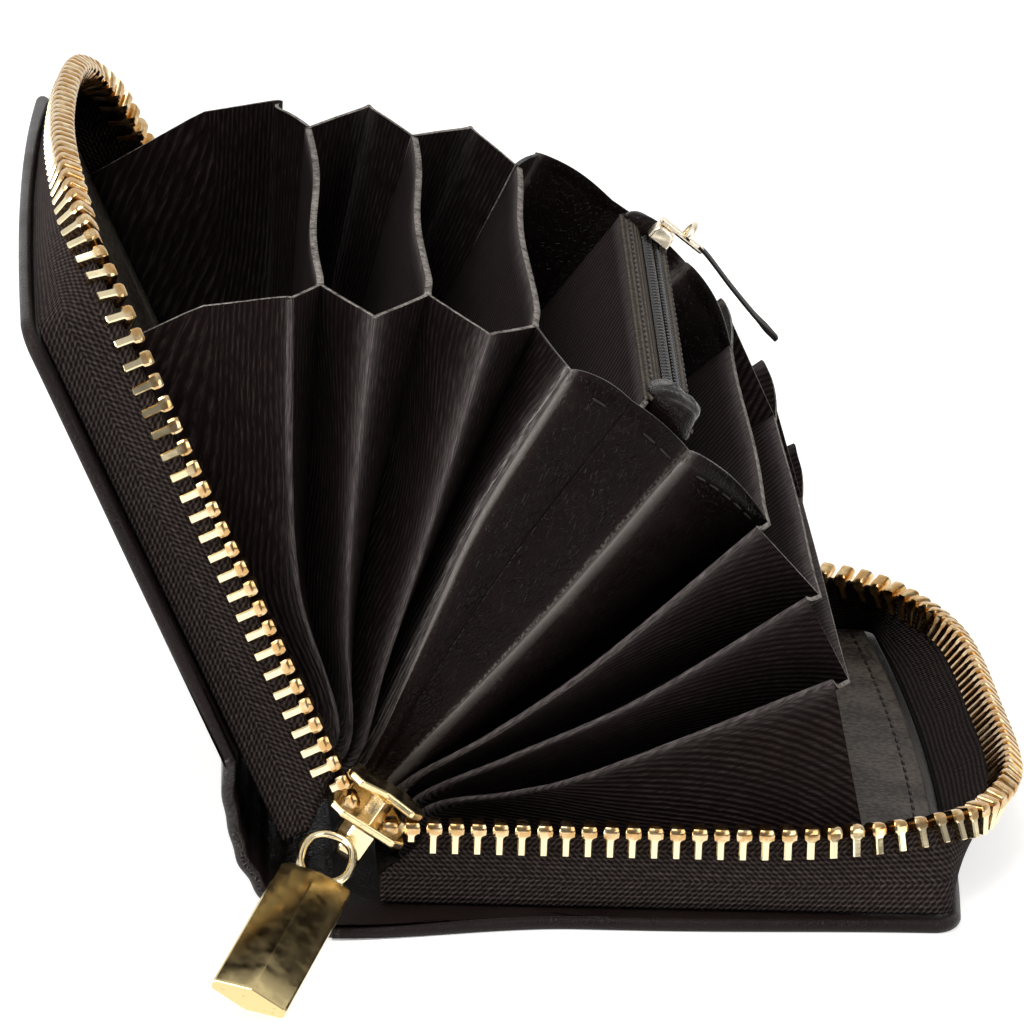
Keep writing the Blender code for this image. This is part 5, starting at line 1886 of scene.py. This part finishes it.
@dataclass
class CoinPocket:
    """Zipped coin pocket: two soft walls, woven bands, a coil zip, end tabs and its slider with a strap."""

    fan: FanShape
    band: float = 0.0014
    coil_pitch: float = 0.0013
    coil_across: float = 0.00052
    coil_high: float = 0.0005
    wire: float = 0.00024
    drop: float = 0.0012
    rise: float = 0.0036
    coil_shift: float = -0.0011
    slider_from_far: float = 0.0058

    @property
    def index(self) -> int:
        """Place of the pocket in the fan."""
        return self.fan.pocket

    def top(self, y: Array) -> Array:
        """Height of the pocket above its root, which rises a little towards the far end."""
        share = (y - self.fan.near) / (self.fan.far - self.fan.near)
        return self.fan.heights[self.index] + self.rise * share

    def wall(self, name: str, sign: float) -> None:
        """Soft wall: a sheet whose middle swells outwards by a double sine.

        Args:
            name: Node that it replaces.
            sign: Side of the pocket, -1 for the lower wall.
        """
        fan = self.fan
        half = fan.pocket_depth / 2.0 - 0.0005
        y = np.linspace(fan.near, fan.far, 50)[None, :]
        share_r = np.linspace(0.0, 1.0, 34)[:, None]
        share_y = (y - fan.near) / (fan.far - fan.near)
        r = 0.002 + (self.top(y) - 0.0024) * share_r
        swell = 0.0004 * np.sin(math.pi * share_r) * np.sin(math.pi * share_y)
        grid = fan.leaf(self.index, r, sign * (half + swell), y)
        uv = np.stack(np.broadcast_arrays(y, r), axis=-1)
        worn = 0.6 * smooth((share_r - 0.975) / 0.025) * np.ones_like(share_y)
        made = make_piece(name + "_skin", grid, grid_quads(34, 50).tolist(), WALL_CLOTH, uv, {"worn": worn},
                          closed=False)
        thicken(made, 0.0007, RAW)
        attach(made, "pocket", Slot.LEATHER, name)

    def gusset(self) -> None:
        """Strip that closes the pocket's near end, floor and far end: one folded U."""
        fan = self.fan
        reach = fan.pocket_depth / 2.0 - 0.0009
        low = 0.0024
        first = fan.near + 0.0004
        last = fan.far - 0.0004
        tops = [float(self.top(np.array(y))) - self.drop - 0.0006 for y in (fan.near, fan.far)]
        ends = [np.linspace(top, low, 18) for top in tops]
        r = np.concatenate([ends[0], np.full(16, low), ends[1][::-1]])
        y = np.concatenate([np.full(18, first), np.linspace(first, last, 18)[1:-1], np.full(18, last)])
        m = np.linspace(-reach, reach, 9)[None, :]
        grid = fan.leaf(self.index, r[:, None], m, y[:, None])
        length = travelled(np.stack([r, y], axis=1))
        uv = np.stack(np.broadcast_arrays(m, length[:, None]), axis=-1)
        faces = grid_quads(len(r), 9).tolist()
        made = make_piece("coin_gusset", grid, faces, GUSSET_CLOTH, uv, {"worn": np.zeros(len(r) * 9)},
                          closed=False)
        thicken(made, 0.0005)
        attach(made, "pocket", Slot.CLOTH, "coin_floor", "coin_end_near", "coin_end_far")

    def tapes(self) -> None:
        """Two woven bands from the walls' tops in to the coils.

        Each rises over a quarter sine and dips at the coil.
        """
        fan = self.fan
        outer = fan.pocket_depth / 2.0 - 0.0001
        y = np.linspace(fan.near, fan.far, 90)[None, :]
        share = np.linspace(0.0, 1.0, 14)[:, None]
        for name, sign in (("coin_tape_lower", -1.0), ("coin_tape_upper", 1.0)):
            inner = sign * self.coil_shift + self.coil_across * 2.0 + 0.0001
            across = sign * (outer + (inner - outer) * share)
            bow = 0.0013 * np.sin(math.pi * np.minimum(share * 0.9 + 0.1, 1.0)) ** 0.7
            high = self.top(y) - self.drop + 0.0002 + bow
            grid = fan.leaf(self.index, high, across + 0.0 * y, y)
            uv = np.stack(np.broadcast_arrays(y, share * abs(outer - inner)), axis=-1)
            made = make_piece(name + "_band", grid, grid_quads(14, 90).tolist(), COIN_TAPE, uv, closed=False)
            thicken(made, 0.0005)
            attach(made, "pocket", Slot.TAPE, name)
            line = fan.leaf(self.index, high[3], across[3] + 0.0 * y[0], y[0]) + fan.out(self.index) * 0.0003
            thread = ThreadRun(line, 0.0022, Stitch(0.0015, 0.00017, 0.4)).build(name + "_stitches")
            attach(thread, "pocket", Slot.TAPE)

    def coils(self) -> None:
        """Two nylon coils: a wire on an oval helix, cosine across and sine upwards, one turn per pitch."""
        fan = self.fan
        start = fan.near + 0.0112
        turns = int((fan.far - 0.003 - start) / self.coil_pitch)
        phase = np.arange(turns * 12 + 1) / 12.0
        for name, sign in (("coin_coil_lower", -1.0), ("coin_coil_upper", 1.0)):
            turn = math.tau * phase
            y = start + self.coil_pitch * (phase + (0.25 + 0.25 * sign) - 0.16 * np.cos(turn))
            centre = self.top(y) - self.drop + 0.0007 + self.coil_high
            middle = self.coil_shift + sign * (self.coil_across + 0.00022)
            path = fan.leaf(self.index, centre + self.coil_high * np.sin(turn),
                            middle + sign * self.coil_across * np.cos(turn), y)
            side = unit(np.gradient(path, axis=0))
            aim = fan.leaf(self.index, centre, middle + 0.0 * y, y) - path
            other = unit(np.cross(side, aim))
            third = np.cross(other, side)
            spin = np.linspace(0.0, math.tau, 6, endpoint=False)
            ring = across_path(path, other, third, spin)
            made = loft(name + "_wire", path[:, None] + ring * self.wire, NYLON)
            attach(made, "pocket", Slot.NYLON, name)

    def tab(self, name: str, near: float, far: float, height: float) -> None:
        """Padded leather end tab: a rounded pillow with a flat foot.

        A place is the centre plus cosine and sine powers of two angles, which gives a rounded
        box; the top swells and the foot stays flat.

        Args:
            name: Node that it replaces.
            near: Near end along the spine.
            far: Far end along the spine.
            height: Height of the pillow.
        """
        fan = self.fan
        around = np.linspace(0.0, math.tau, 40, endpoint=False)[None, :]
        lift = np.linspace(-0.5 * math.pi + 0.06, 0.5 * math.pi - 0.06, 22)[:, None]
        half_m = fan.pocket_depth / 2.0 - 0.0001
        half_y = (far - near) / 2.0
        m = half_m * signed_power(np.cos(lift), 0.55) * signed_power(np.cos(around), 0.7) - 0.0007
        y = (near + far) / 2.0 + half_y * signed_power(np.cos(lift), 0.5) * signed_power(np.sin(around), 0.75)
        up = signed_power(np.sin(lift), 0.8) + 0.0 * around
        base = self.top(y) - 0.0026
        share = np.clip((y - near) / (far - near), 0.0, 1.0)
        r = base + height * (0.5 + 0.5 * up) * (1.0 - 0.3 * share ** 2)
        fold = 0.00022 * np.sin((y - near) * 2600.0 + m * 900.0)
        fold = fold * (0.5 + 0.5 * up) * smooth((far - y) / 0.006)
        m = m + 0.0006 * np.sin(up * 2.0 + (y - near) * 260.0) * np.cos(lift)
        r = r + fold
        made = loft(name + "_pad", fan.leaf(self.index, r, m, y), TAB_HIDE)
        attach(made, "pocket", Slot.LEATHER, name)

    def slider(self) -> None:
        """Small slider: a domed body, a bridge with its loop and the drooping leather strap."""
        fan = self.fan
        middle = fan.far - self.slider_from_far
        low = float(self.top(np.array(middle))) - self.drop + 0.0023
        across = np.array([-1.0, -1.0, -0.8, -0.35, 0.35, 0.8, 1.0, 1.0]) * 0.00145
        high = np.array([0.0, 0.00125, 0.0019, 0.0021, 0.0021, 0.0019, 0.00125, 0.0])
        along = np.array([-0.0019, -0.0017, -0.0007, 0.0011, 0.0022, 0.0026])
        width = np.array([0.9, 0.98, 1.0, 0.9, 0.75, 0.65])
        lift = np.array([0.8, 1.0, 1.0, 1.0, 1.0, 0.8])
        grid = fan.leaf(self.index, low + high[None, :] * lift[:, None],
                        self.coil_shift + across[None, :] * width[:, None], middle + along[:, None])
        body = loft("coin_slider_body", grid, PALE_GOLD)
        soften(body, 0.0002)
        attach(body, "coin_zip", Slot.GOLD, "coin_slider")
        corners = np.array([(0.0012, -0.0011), (0.0012, 0.0011), (-0.0054, 0.0009), (-0.0054, -0.0009)])
        base = fan.leaf(self.index, np.full(4, low + 0.0021), self.coil_shift + corners[:, 0],
                        middle + corners[:, 1])
        bridge = prism("coin_slider_bridge", base, fan.out(self.index) * 0.0008, PALE_GOLD, 0.00025)
        attach(bridge, "coin_zip", Slot.GOLD)
        turn = np.linspace(0.0, math.pi, 15)
        path = fan.leaf(self.index, low + 0.0026 + 0.0019 * np.sin(turn),
                        np.full(15, self.coil_shift - 0.0026), middle - 0.0015 * np.cos(turn))
        verts, faces = tube(path, 0.00042, 10)
        lug = make_piece("coin_slider_ring", verts, faces, PALE_GOLD)
        attach(lug, "coin_zip", Slot.GOLD, "coin_slider_lug")
        self.strap(low + 0.0027, middle)

    def strap(self, level: float, middle: float) -> None:
        """Leather strap hanging from beside the ring and drooping beside the fan, its width along the spine.

        Args:
            level: Height of the ring above the root.
            middle: Place of the slider along the spine.
        """
        fan = self.fan
        root = fan.leaf(self.index, np.array(level), np.array(self.coil_shift - 0.0046), np.array(middle))
        marks = np.array([[0.0, 0.0, 0.0], [1.4, 0.1, -1.4], [4.2, 0.2, -4.9], [7.4, 0.2, -8.6],
                          [10.3, 0.2, -11.6]])
        path = root + flowing(marks * MM, 40)
        share = np.linspace(0.0, 1.0, 40)
        width = 0.0024 + (0.0046 - 0.0024) * smooth(share / 0.3)
        width = width * (1.0 - 0.45 * smooth((share - 0.86) / 0.14))
        thick = 0.00042 + 0.0003 * smooth((share - 0.75) / 0.15)
        ahead = unit(np.gradient(path, axis=0))
        wide = np.tile(ALONG_SPINE, (40, 1))
        flat = unit(np.cross(ahead, wide))
        turn = np.linspace(0.0, math.tau, 16, endpoint=False)
        across = signed_power(np.cos(turn), 0.4)
        high = signed_power(np.sin(turn), 0.7)
        rings = (path[:, None] + wide[:, None] * (across[None, :, None] * width[:, None, None] / 2.0)
                 + flat[:, None] * (high[None, :, None] * thick[:, None, None] / 2.0))
        made = loft("coin_strap", rings, STRAP_HIDE)
        attach(made, "coin_tag", Slot.LEATHER, "coin_pull")

    def build(self) -> None:
        """Build every piece of the pocket."""
        self.wall("coin_wall_lower", -1.0)
        self.wall("coin_wall_upper", 1.0)
        self.gusset()
        self.tapes()
        self.coils()
        self.tab("coin_tab_near", self.fan.near - 0.002, self.fan.near + 0.0115, 0.005)
        self.tab("coin_tab_far", self.fan.far - 0.0036, self.fan.far + 0.0004, 0.0052)
        self.slider()
        LOG.info("coin pocket")


# Main slider


@dataclass
class MainSlider:
    """Zip slider parked on the hinge line, with its crown, puller and mouth teeth."""

    case: CaseShape
    lower: CoverFrame
    upper: CoverFrame
    front: float = -0.0045
    length: float = 0.01
    half_width: float = 0.0049
    tail_half: float = 0.0034
    plate: float = 0.001
    inside: float = 0.003
    inner_short: float = 0.0003
    inner_length: float = 0.0058
    shift_along: float = 0.0012
    shift_out: float = 0.00135
    notch: float = 0.0014
    post_length: float = 0.0036
    post_half: float = 0.0014
    crown_length: float = 0.0078
    crown_rise: float = 0.0042
    crown_width: float = 0.003
    crown_thick: float = 0.0009
    bar_root: tuple = (-0.0059, -0.009, 0.0076)
    bar_tip: tuple = (-0.0137, -0.036, 0.0026)
    eye_top: tuple = (-0.0043, -0.003, 0.0108)
    eye_half: float = 0.0029

    @property
    def out(self) -> Array:
        """Direction into the case."""
        return heading(self.case.open_angle / 2.0)

    @property
    def across(self) -> Array:
        """Direction across the plates, towards the lower row."""
        return heading(self.case.open_angle / 2.0 - math.pi / 2.0)

    def place(self, across: Array, along: Array, out: Array) -> Array:
        """World places in the slider's frame.

        Args:
            across: Distances across the plates.
            along: Distances along the spine.
            out: Distances into the case.

        Returns:
            Places in the world.
        """
        across, along, out = np.broadcast_arrays(across, along, out)
        hinge = np.array([0.0, 0.0, self.case.half_depth])
        return (hinge + across[..., None] * self.across + (along + self.shift_along)[..., None] * ALONG_SPINE
                + (out + self.shift_out)[..., None] * self.out)

    def plan(self, length: float, front: float) -> Array:
        """Outline of a plate: a wide mouth with cut corners and a narrower tail.

        Args:
            length: Length of the plate.
            front: Place of its mouth.

        Returns:
            Places across and along.
        """
        wide = self.half_width
        cut = wide - self.tail_half
        end = front + length
        right = [(wide - cut, front), (wide, front + cut), (wide, front + length / 2.0),
                 (self.tail_half, end - cut / 2.0), (self.tail_half - cut / 2.0, end)]
        return np.array(right + [(-a, y) for a, y in reversed(right)])

    def carry(self, piece: Piece, *nodes: str) -> None:
        """Attach a piece to the slider's body."""
        attach(piece, "zip_slider", Slot.GOLD, *nodes)

    def body(self) -> None:
        """Two plates, the diamond post and the four flanges, each a bevelled prism."""
        inside = self.inside / 2.0
        plan = self.plan(self.length, self.front)
        outer = self.place(plan[:, 0], plan[:, 1], np.array(-inside - self.plate))
        self.carry(prism("slider_outer_plate", outer, self.out * self.plate, WORN_GOLD, 0.00035, 3),
                   "main_slider")
        plan = self.plan(self.inner_length, self.front + self.inner_short)
        plan = np.concatenate([plan, [(0.0, self.front + self.inner_short + self.notch)]])
        inner = self.place(plan[:, 0], plan[:, 1], np.array(inside))
        self.carry(prism("slider_inner_plate", inner, self.out * self.plate, WORN_GOLD, 0.00035, 3))
        front = self.front + self.inner_short
        widest = front + self.post_length / 2.0
        diamond = np.array([(0.0, front), (self.post_half, widest), (0.0, front + self.post_length),
                            (-self.post_half, widest)])
        post = self.place(diamond[:, 0], diamond[:, 1], np.array(-inside - 0.0001))
        self.carry(prism("slider_post", post, self.out * (2.0 * inside + 0.0002), WORN_GOLD, 0.00012))
        middle = self.front + self.length / 2.0
        tail = self.front + self.length - self.inner_short
        wide = self.half_width - 0.0002
        narrow = self.tail_half - 0.0002
        for side in (-1.0, 1.0):
            for level in (-1.0, 1.0):
                shape = np.array([(side * wide, middle), (side * (wide - 0.001), middle),
                                  (side * (narrow - 0.001), tail), (side * narrow, tail)])
                base = self.place(shape[:, 0], shape[:, 1], np.array(level * (inside + 0.0001)))
                name = "slider_flange_%s_%s" % ("low" if side > 0 else "high", "in" if level > 0 else "out")
                self.carry(prism(name, base, self.out * (-level * 0.0012), WORN_GOLD, 0.00012))

    def crown(self) -> None:
        """Arched strap: a rounded strip section carried over a path with round corners."""
        base = self.inside / 2.0 + self.plate + 0.0001
        thick = self.crown_thick
        front = self.front + 0.0003 + thick / 2.0
        back = front + self.crown_length - thick
        top = base + self.crown_rise - thick / 2.0
        bend = 0.0011
        turn = np.linspace(0.0, math.pi / 2.0, 7)
        arc = bend * (1.0 - np.cos(turn))
        rise = top - bend * (1.0 - np.sin(turn))
        along = np.concatenate([[front], front + arc, back - arc[::-1], [back]])
        high = np.concatenate([[base], rise, rise[::-1], [base]])
        path = np.stack([along, high], axis=1)
        ahead = unit(np.gradient(path, axis=0))
        normal = np.stack([-ahead[:, 1], ahead[:, 0]], axis=1)
        half = self.crown_width / 2.0
        edge = 0.0002
        section = np.array([(-half, -thick / 2 + edge), (-half + edge, -thick / 2), (half - edge, -thick / 2),
                            (half, -thick / 2 + edge), (half, thick / 2 - edge), (half - edge, thick / 2),
                            (-half + edge, thick / 2), (-half, thick / 2 - edge)])
        spots = path[:, None] + normal[:, None] * section[None, :, 1:2]
        rings = self.place(section[None, :, 0], spots[..., 0], -spots[..., 1])
        made = loft("slider_crown_strap", rings, GOLD)
        made.data.set_sharp_from_angle(angle=math.radians(35))
        self.carry(made, "slider_crown")

    def mouth(self) -> None:
        """Teeth inside the slider's mouth: the next two places of either row, with their legs cut short."""
        for cover, runs in ((self.lower, (0.0047, 0.0022)), (self.upper, (0.00504, 0.00254))):
            tip, tangent, _ = cover.row(np.array(runs))
            up = np.tile(cover.inward, (len(runs), 1))
            across = np.tile(np.array([0.0, -1.0, 0.0]), (len(runs), 1))
            made = Tooth(height=0.0024).build("mouth_%s_teeth" % cover.body, tip, tangent, across, up)
            self.carry(made, "mouth_tooth_" + cover.body)

    def puller(self) -> None:
        """Puller: a rounded eye bent up to the crown, and a bar with a ridge along both faces.

        The bar is a loft of twelve-cornered sections from the shoulders to the tip, and the eye a
        tube along an oval of cosine and sine powers.
        """
        root = np.array(self.bar_root)
        tip = np.array(self.bar_tip)
        reach = float(np.linalg.norm(tip - root))
        out = (tip - root) / reach
        flat = heading(math.radians(-16.2))
        wide = unit(flat - out * (flat @ out))
        thick = np.cross(out, wide)
        stations = np.array([0.0, 0.0003, 0.001, 0.002, reach - 0.0005, reach - 0.0001, reach])
        widths = np.array([0.0066, 0.0076, 0.0083, 0.0086, 0.0086, 0.0085, 0.0082]) / 2.0
        ridges = np.array([0.0006, 0.0009, 0.0013, 0.0015, 0.0015, 0.0014, 0.0013])
        edges = np.array([0.00042, 0.0005, 0.0006, 0.0006, 0.0006, 0.00055, 0.0005])
        ring_a = np.array([-1.0, -0.95, -0.03, 0.03, 0.95, 1.0, 1.0, 0.95, 0.03, -0.03, -0.95, -1.0])
        side = np.array([-0.7, -1.0, -1.0, -1.0, -1.0, -0.7, 0.7, 1.0, 1.0, 1.0, 1.0, 0.7])
        ridge_share = np.array([0.0, 0.05, 0.97, 0.97, 0.05, 0.0, 0.0, 0.05, 0.97, 0.97, 0.05, 0.0])
        depth = (edges[:, None] + (ridges - edges)[:, None] * ridge_share[None, :]) * side[None, :]
        rings = (root + stations[:, None, None] * out + (widths[:, None] * ring_a)[..., None] * wide
                 + depth[..., None] * thick)
        bar = loft("puller_bar", rings, BAR_GOLD)
        bar.data.set_sharp_from_angle(angle=math.radians(14))
        attach(bar, "puller", Slot.GOLD, "main_puller")
        top = np.array(self.eye_top)
        rise = float(np.linalg.norm(top - root))
        up = (top - root) / rise
        flat = heading(math.radians(-9.0))
        wide = unit(flat - up * (flat @ up))
        half = self.eye_half
        turn = np.linspace(0.0, math.tau, 44, endpoint=False)
        a = 0.0003 + half * signed_power(np.cos(turn), 0.85)
        r = rise * (0.44 + 0.52 * signed_power(np.sin(turn), 0.85))
        verts, faces = tube(root + r[:, None] * up + a[:, None] * wide, 0.00052, 12, closed=True)
        eye = make_piece("puller_eye", verts, faces, GOLD)
        attach(eye, "puller", Slot.GOLD)

    def build(self) -> None:
        """Build every piece of the slider."""
        self.body()
        self.crown()
        self.mouth()
        self.puller()
        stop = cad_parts["zip_stop"]
        stop.data.materials.clear()
        stop.data.materials.append(WORN_GOLD.material())
        LOG.info("main slider")


# Stage


def standing(x: Array, y: Array, z: Array, place: tuple) -> Matrix:
    """Matrix of an object from its three axes and its place."""
    return Matrix([[x[k], y[k], z[k], place[k]] for k in range(3)] + [[0.0, 0.0, 0.0, 1.0]])


@dataclass
class Stage:
    """Pale floor and backdrop, soft studio lamps and the camera."""

    focal_px: float = 6504.7
    image_px: float = 1024.0
    sensor: float = 36.0
    eye: tuple = (-0.02524, -0.69748, 0.23863)
    yaw: float = math.radians(3.272)
    pitch: float = math.radians(15.271)
    roll: float = math.radians(2.351)
    paper_glow: float = 0.62
    soft_world: float = 0.35

    def camera(self) -> None:
        """Camera at the photograph's angle: forward from yaw and pitch, then rolled about it."""
        flat = math.cos(self.pitch)
        ahead = np.array([math.sin(self.yaw) * flat, math.cos(self.yaw) * flat, -math.sin(self.pitch)])
        level = np.array([math.cos(self.yaw), -math.sin(self.yaw), 0.0])
        above = np.cross(level, ahead)
        right = math.cos(self.roll) * level + math.sin(self.roll) * above
        up = -math.sin(self.roll) * level + math.cos(self.roll) * above
        data = bpy.data.cameras.new("view")
        data.sensor_width = self.sensor
        data.lens = self.focal_px * self.sensor / self.image_px
        data.clip_start = 0.01
        data.clip_end = 20.0
        made = bpy.data.objects.new("view", data)
        made.matrix_world = standing(right, up, -ahead, self.eye)
        bpy.context.scene.collection.objects.link(made)
        bpy.context.scene.camera = made

    def floor_material(self) -> bpy.types.Material:
        """Matt white paper: diffuse for lamps, lifted to white for camera, glossy and transmission rays.

        Returns:
            The material.
        """
        made = bpy.data.materials.new("white_paper")
        made.use_nodes = True
        tree = made.node_tree
        add = partial(add_node, tree)
        shader = tree.nodes["Principled BSDF"]
        shader.inputs["Roughness"].default_value = 1.0
        shader.inputs["Specular IOR Level"].default_value = 0.0
        place = add("TexCoord", "Object")
        fibre = add("TexNoise", "Fac", inputs={"Vector": place, "Scale": 900.0, "Detail": 3.0})
        paper = ramp(tree, fibre, [(0.3, "#e9e8e6"), (0.7, "#efeeec")])
        tree.links.new(paper, shader.inputs["Base Color"])
        seen = add("LightPath", "Is Camera Ray")
        rays = seen.node.outputs
        for kind in ("Is Glossy Ray", "Is Transmission Ray"):
            seen = add("Math", 0, {"operation": "MAXIMUM"}, {0: seen, 1: rays[kind]})
        lift = add("Math", 0, {"operation": "MULTIPLY"}, {0: seen, 1: self.paper_glow})
        glow = add("Emission", inputs={"Color": WHITE, "Strength": lift})
        both = add("AddShader", inputs={0: shader.outputs["BSDF"], 1: glow})
        tree.links.new(both, tree.nodes["Material Output"].inputs["Surface"])
        return made

    def floor(self) -> None:
        """Sweep: a flat floor that rises behind in a quarter circle to a wall."""
        turn = np.linspace(0.0, math.pi / 2.0, 16)
        y = np.concatenate([[-1.6, 0.9], 0.9 + 0.5 * np.sin(turn), [1.4]])
        z = np.concatenate([[0.0, 0.0], 0.5 - 0.5 * np.cos(turn), [2.4]])
        x = np.linspace(-2.2, 2.2, 5)
        grid = np.stack([np.broadcast_to(x[None, :], (len(y), 5)), np.broadcast_to(y[:, None], (len(y), 5)),
                         np.broadcast_to(z[:, None], (len(y), 5))], axis=-1)
        mesh = bpy.data.meshes.new("paper_sweep")
        mesh.from_pydata(grid.reshape(-1, 3).tolist(), [], grid_quads(len(y), 5)[:, ::-1].tolist())
        mesh.materials.append(self.floor_material())
        mesh.shade_smooth()
        made = bpy.data.objects.new("paper_sweep", mesh)
        bpy.context.scene.collection.objects.link(made)

    def lamp(self, name: str, place: tuple, aim: tuple, size: float, power: float) -> None:
        """Square soft lamp.

        Args:
            name: Name of the lamp.
            place: Where it stands.
            aim: Where it points.
            size: Length of its side.
            power: Watts.
        """
        data = bpy.data.lights.new(name, "AREA")
        data.size = size
        data.energy = power
        made = bpy.data.objects.new(name, data)
        z = unit(np.array(place) - np.array(aim))
        x = unit(np.cross(np.array([0.0, 0.3, 1.0]), z))
        y = np.cross(z, x)
        made.matrix_world = standing(x, y, z, place)
        bpy.context.scene.collection.objects.link(made)

    def lights(self) -> None:
        """Three broad lamps, above, left and right, and a world that is white behind and above."""
        aim = (0.015, 0.05, 0.03)
        self.lamp("key", (-0.25, -0.35, 0.8), aim, 0.6, 5.0)
        self.lamp("left", (-0.6, -0.25, 0.12), aim, 0.3, 3.0)
        self.lamp("right", (0.6, -0.5, 0.4), aim, 0.5, 2.0)
        world = bpy.data.worlds.new("studio")
        world.use_nodes = True
        tree = world.node_tree
        add = partial(add_node, tree)
        largest = {"operation": "MAXIMUM"}
        product = {"operation": "MULTIPLY"}
        camera = add("LightPath", "Is Camera Ray")
        rays = camera.node.outputs
        seen = add("Math", 0, largest, {0: camera, 1: rays["Is Transmission Ray"]})
        behind = add("SeparateXYZ", "Y", inputs={"Vector": add("TexCoord", "Generated")})
        above = behind.node.outputs["Z"]
        behind = add("MapRange", "Result", inputs={"Value": behind, "From Min": -0.25, "From Max": 0.55,
                                                   "To Min": 0.2, "To Max": 1.0})
        above = add("MapRange", "Result", inputs={"Value": above, "From Min": 0.5, "From Max": 0.95,
                                                  "To Min": 0.2, "To Max": 0.8})
        room = add("Math", 0, largest, {0: behind, 1: above})
        glossy = add("Math", 0, product, {0: rays["Is Glossy Ray"], 1: room})
        level = add("Math", 0, largest, {0: seen, 1: glossy})
        diffuse = add("Math", 0, product, {0: rays["Is Diffuse Ray"], 1: self.soft_world})
        strength = add("Math", 0, largest, {0: level, 1: diffuse})
        back = tree.nodes["Background"]
        back.inputs["Color"].default_value = WHITE
        tree.links.new(strength, back.inputs["Strength"])
        bpy.context.scene.world = world

    def build(self) -> None:
        """Set up the stage."""
        self.camera()
        self.floor()
        self.lights()
        bpy.context.scene.view_settings.view_transform = "Standard"
        LOG.info("stage")


def corners(box: tuple) -> list:
    """Two corners as plain lists."""
    return [[float(x) for x in corner] for corner in box]


def main() -> None:
    """Build the wallet's looks and report each piece."""
    logging.basicConfig(level=logging.INFO, format="%(name)s: %(message)s")
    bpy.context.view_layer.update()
    Stage().build()
    case = CaseShape()
    up = case.open_angle
    lower = CoverFrame(case, "lower", 0.0, np.array([0.0, 0.0, 1.0]), sag=0.0015)
    upper = CoverFrame(case, "upper", up, np.array([math.sin(up), 0.0, -math.cos(up)]), sag=0.0025)
    CoverSet(lower, start=-0.004, first_tooth=0.0072, lip=0.005).build()
    CoverSet(upper, start=0.013, first_tooth=0.00754).build()
    Spine(lower, upper).build()
    shape = FanShape(case, lower, upper)
    fan = Fan(shape)
    fan.leaves()
    fan.pleats()
    CoinPocket(shape).build()
    MainSlider(case, lower, upper).build()


if __name__ == "__main__":
    main()
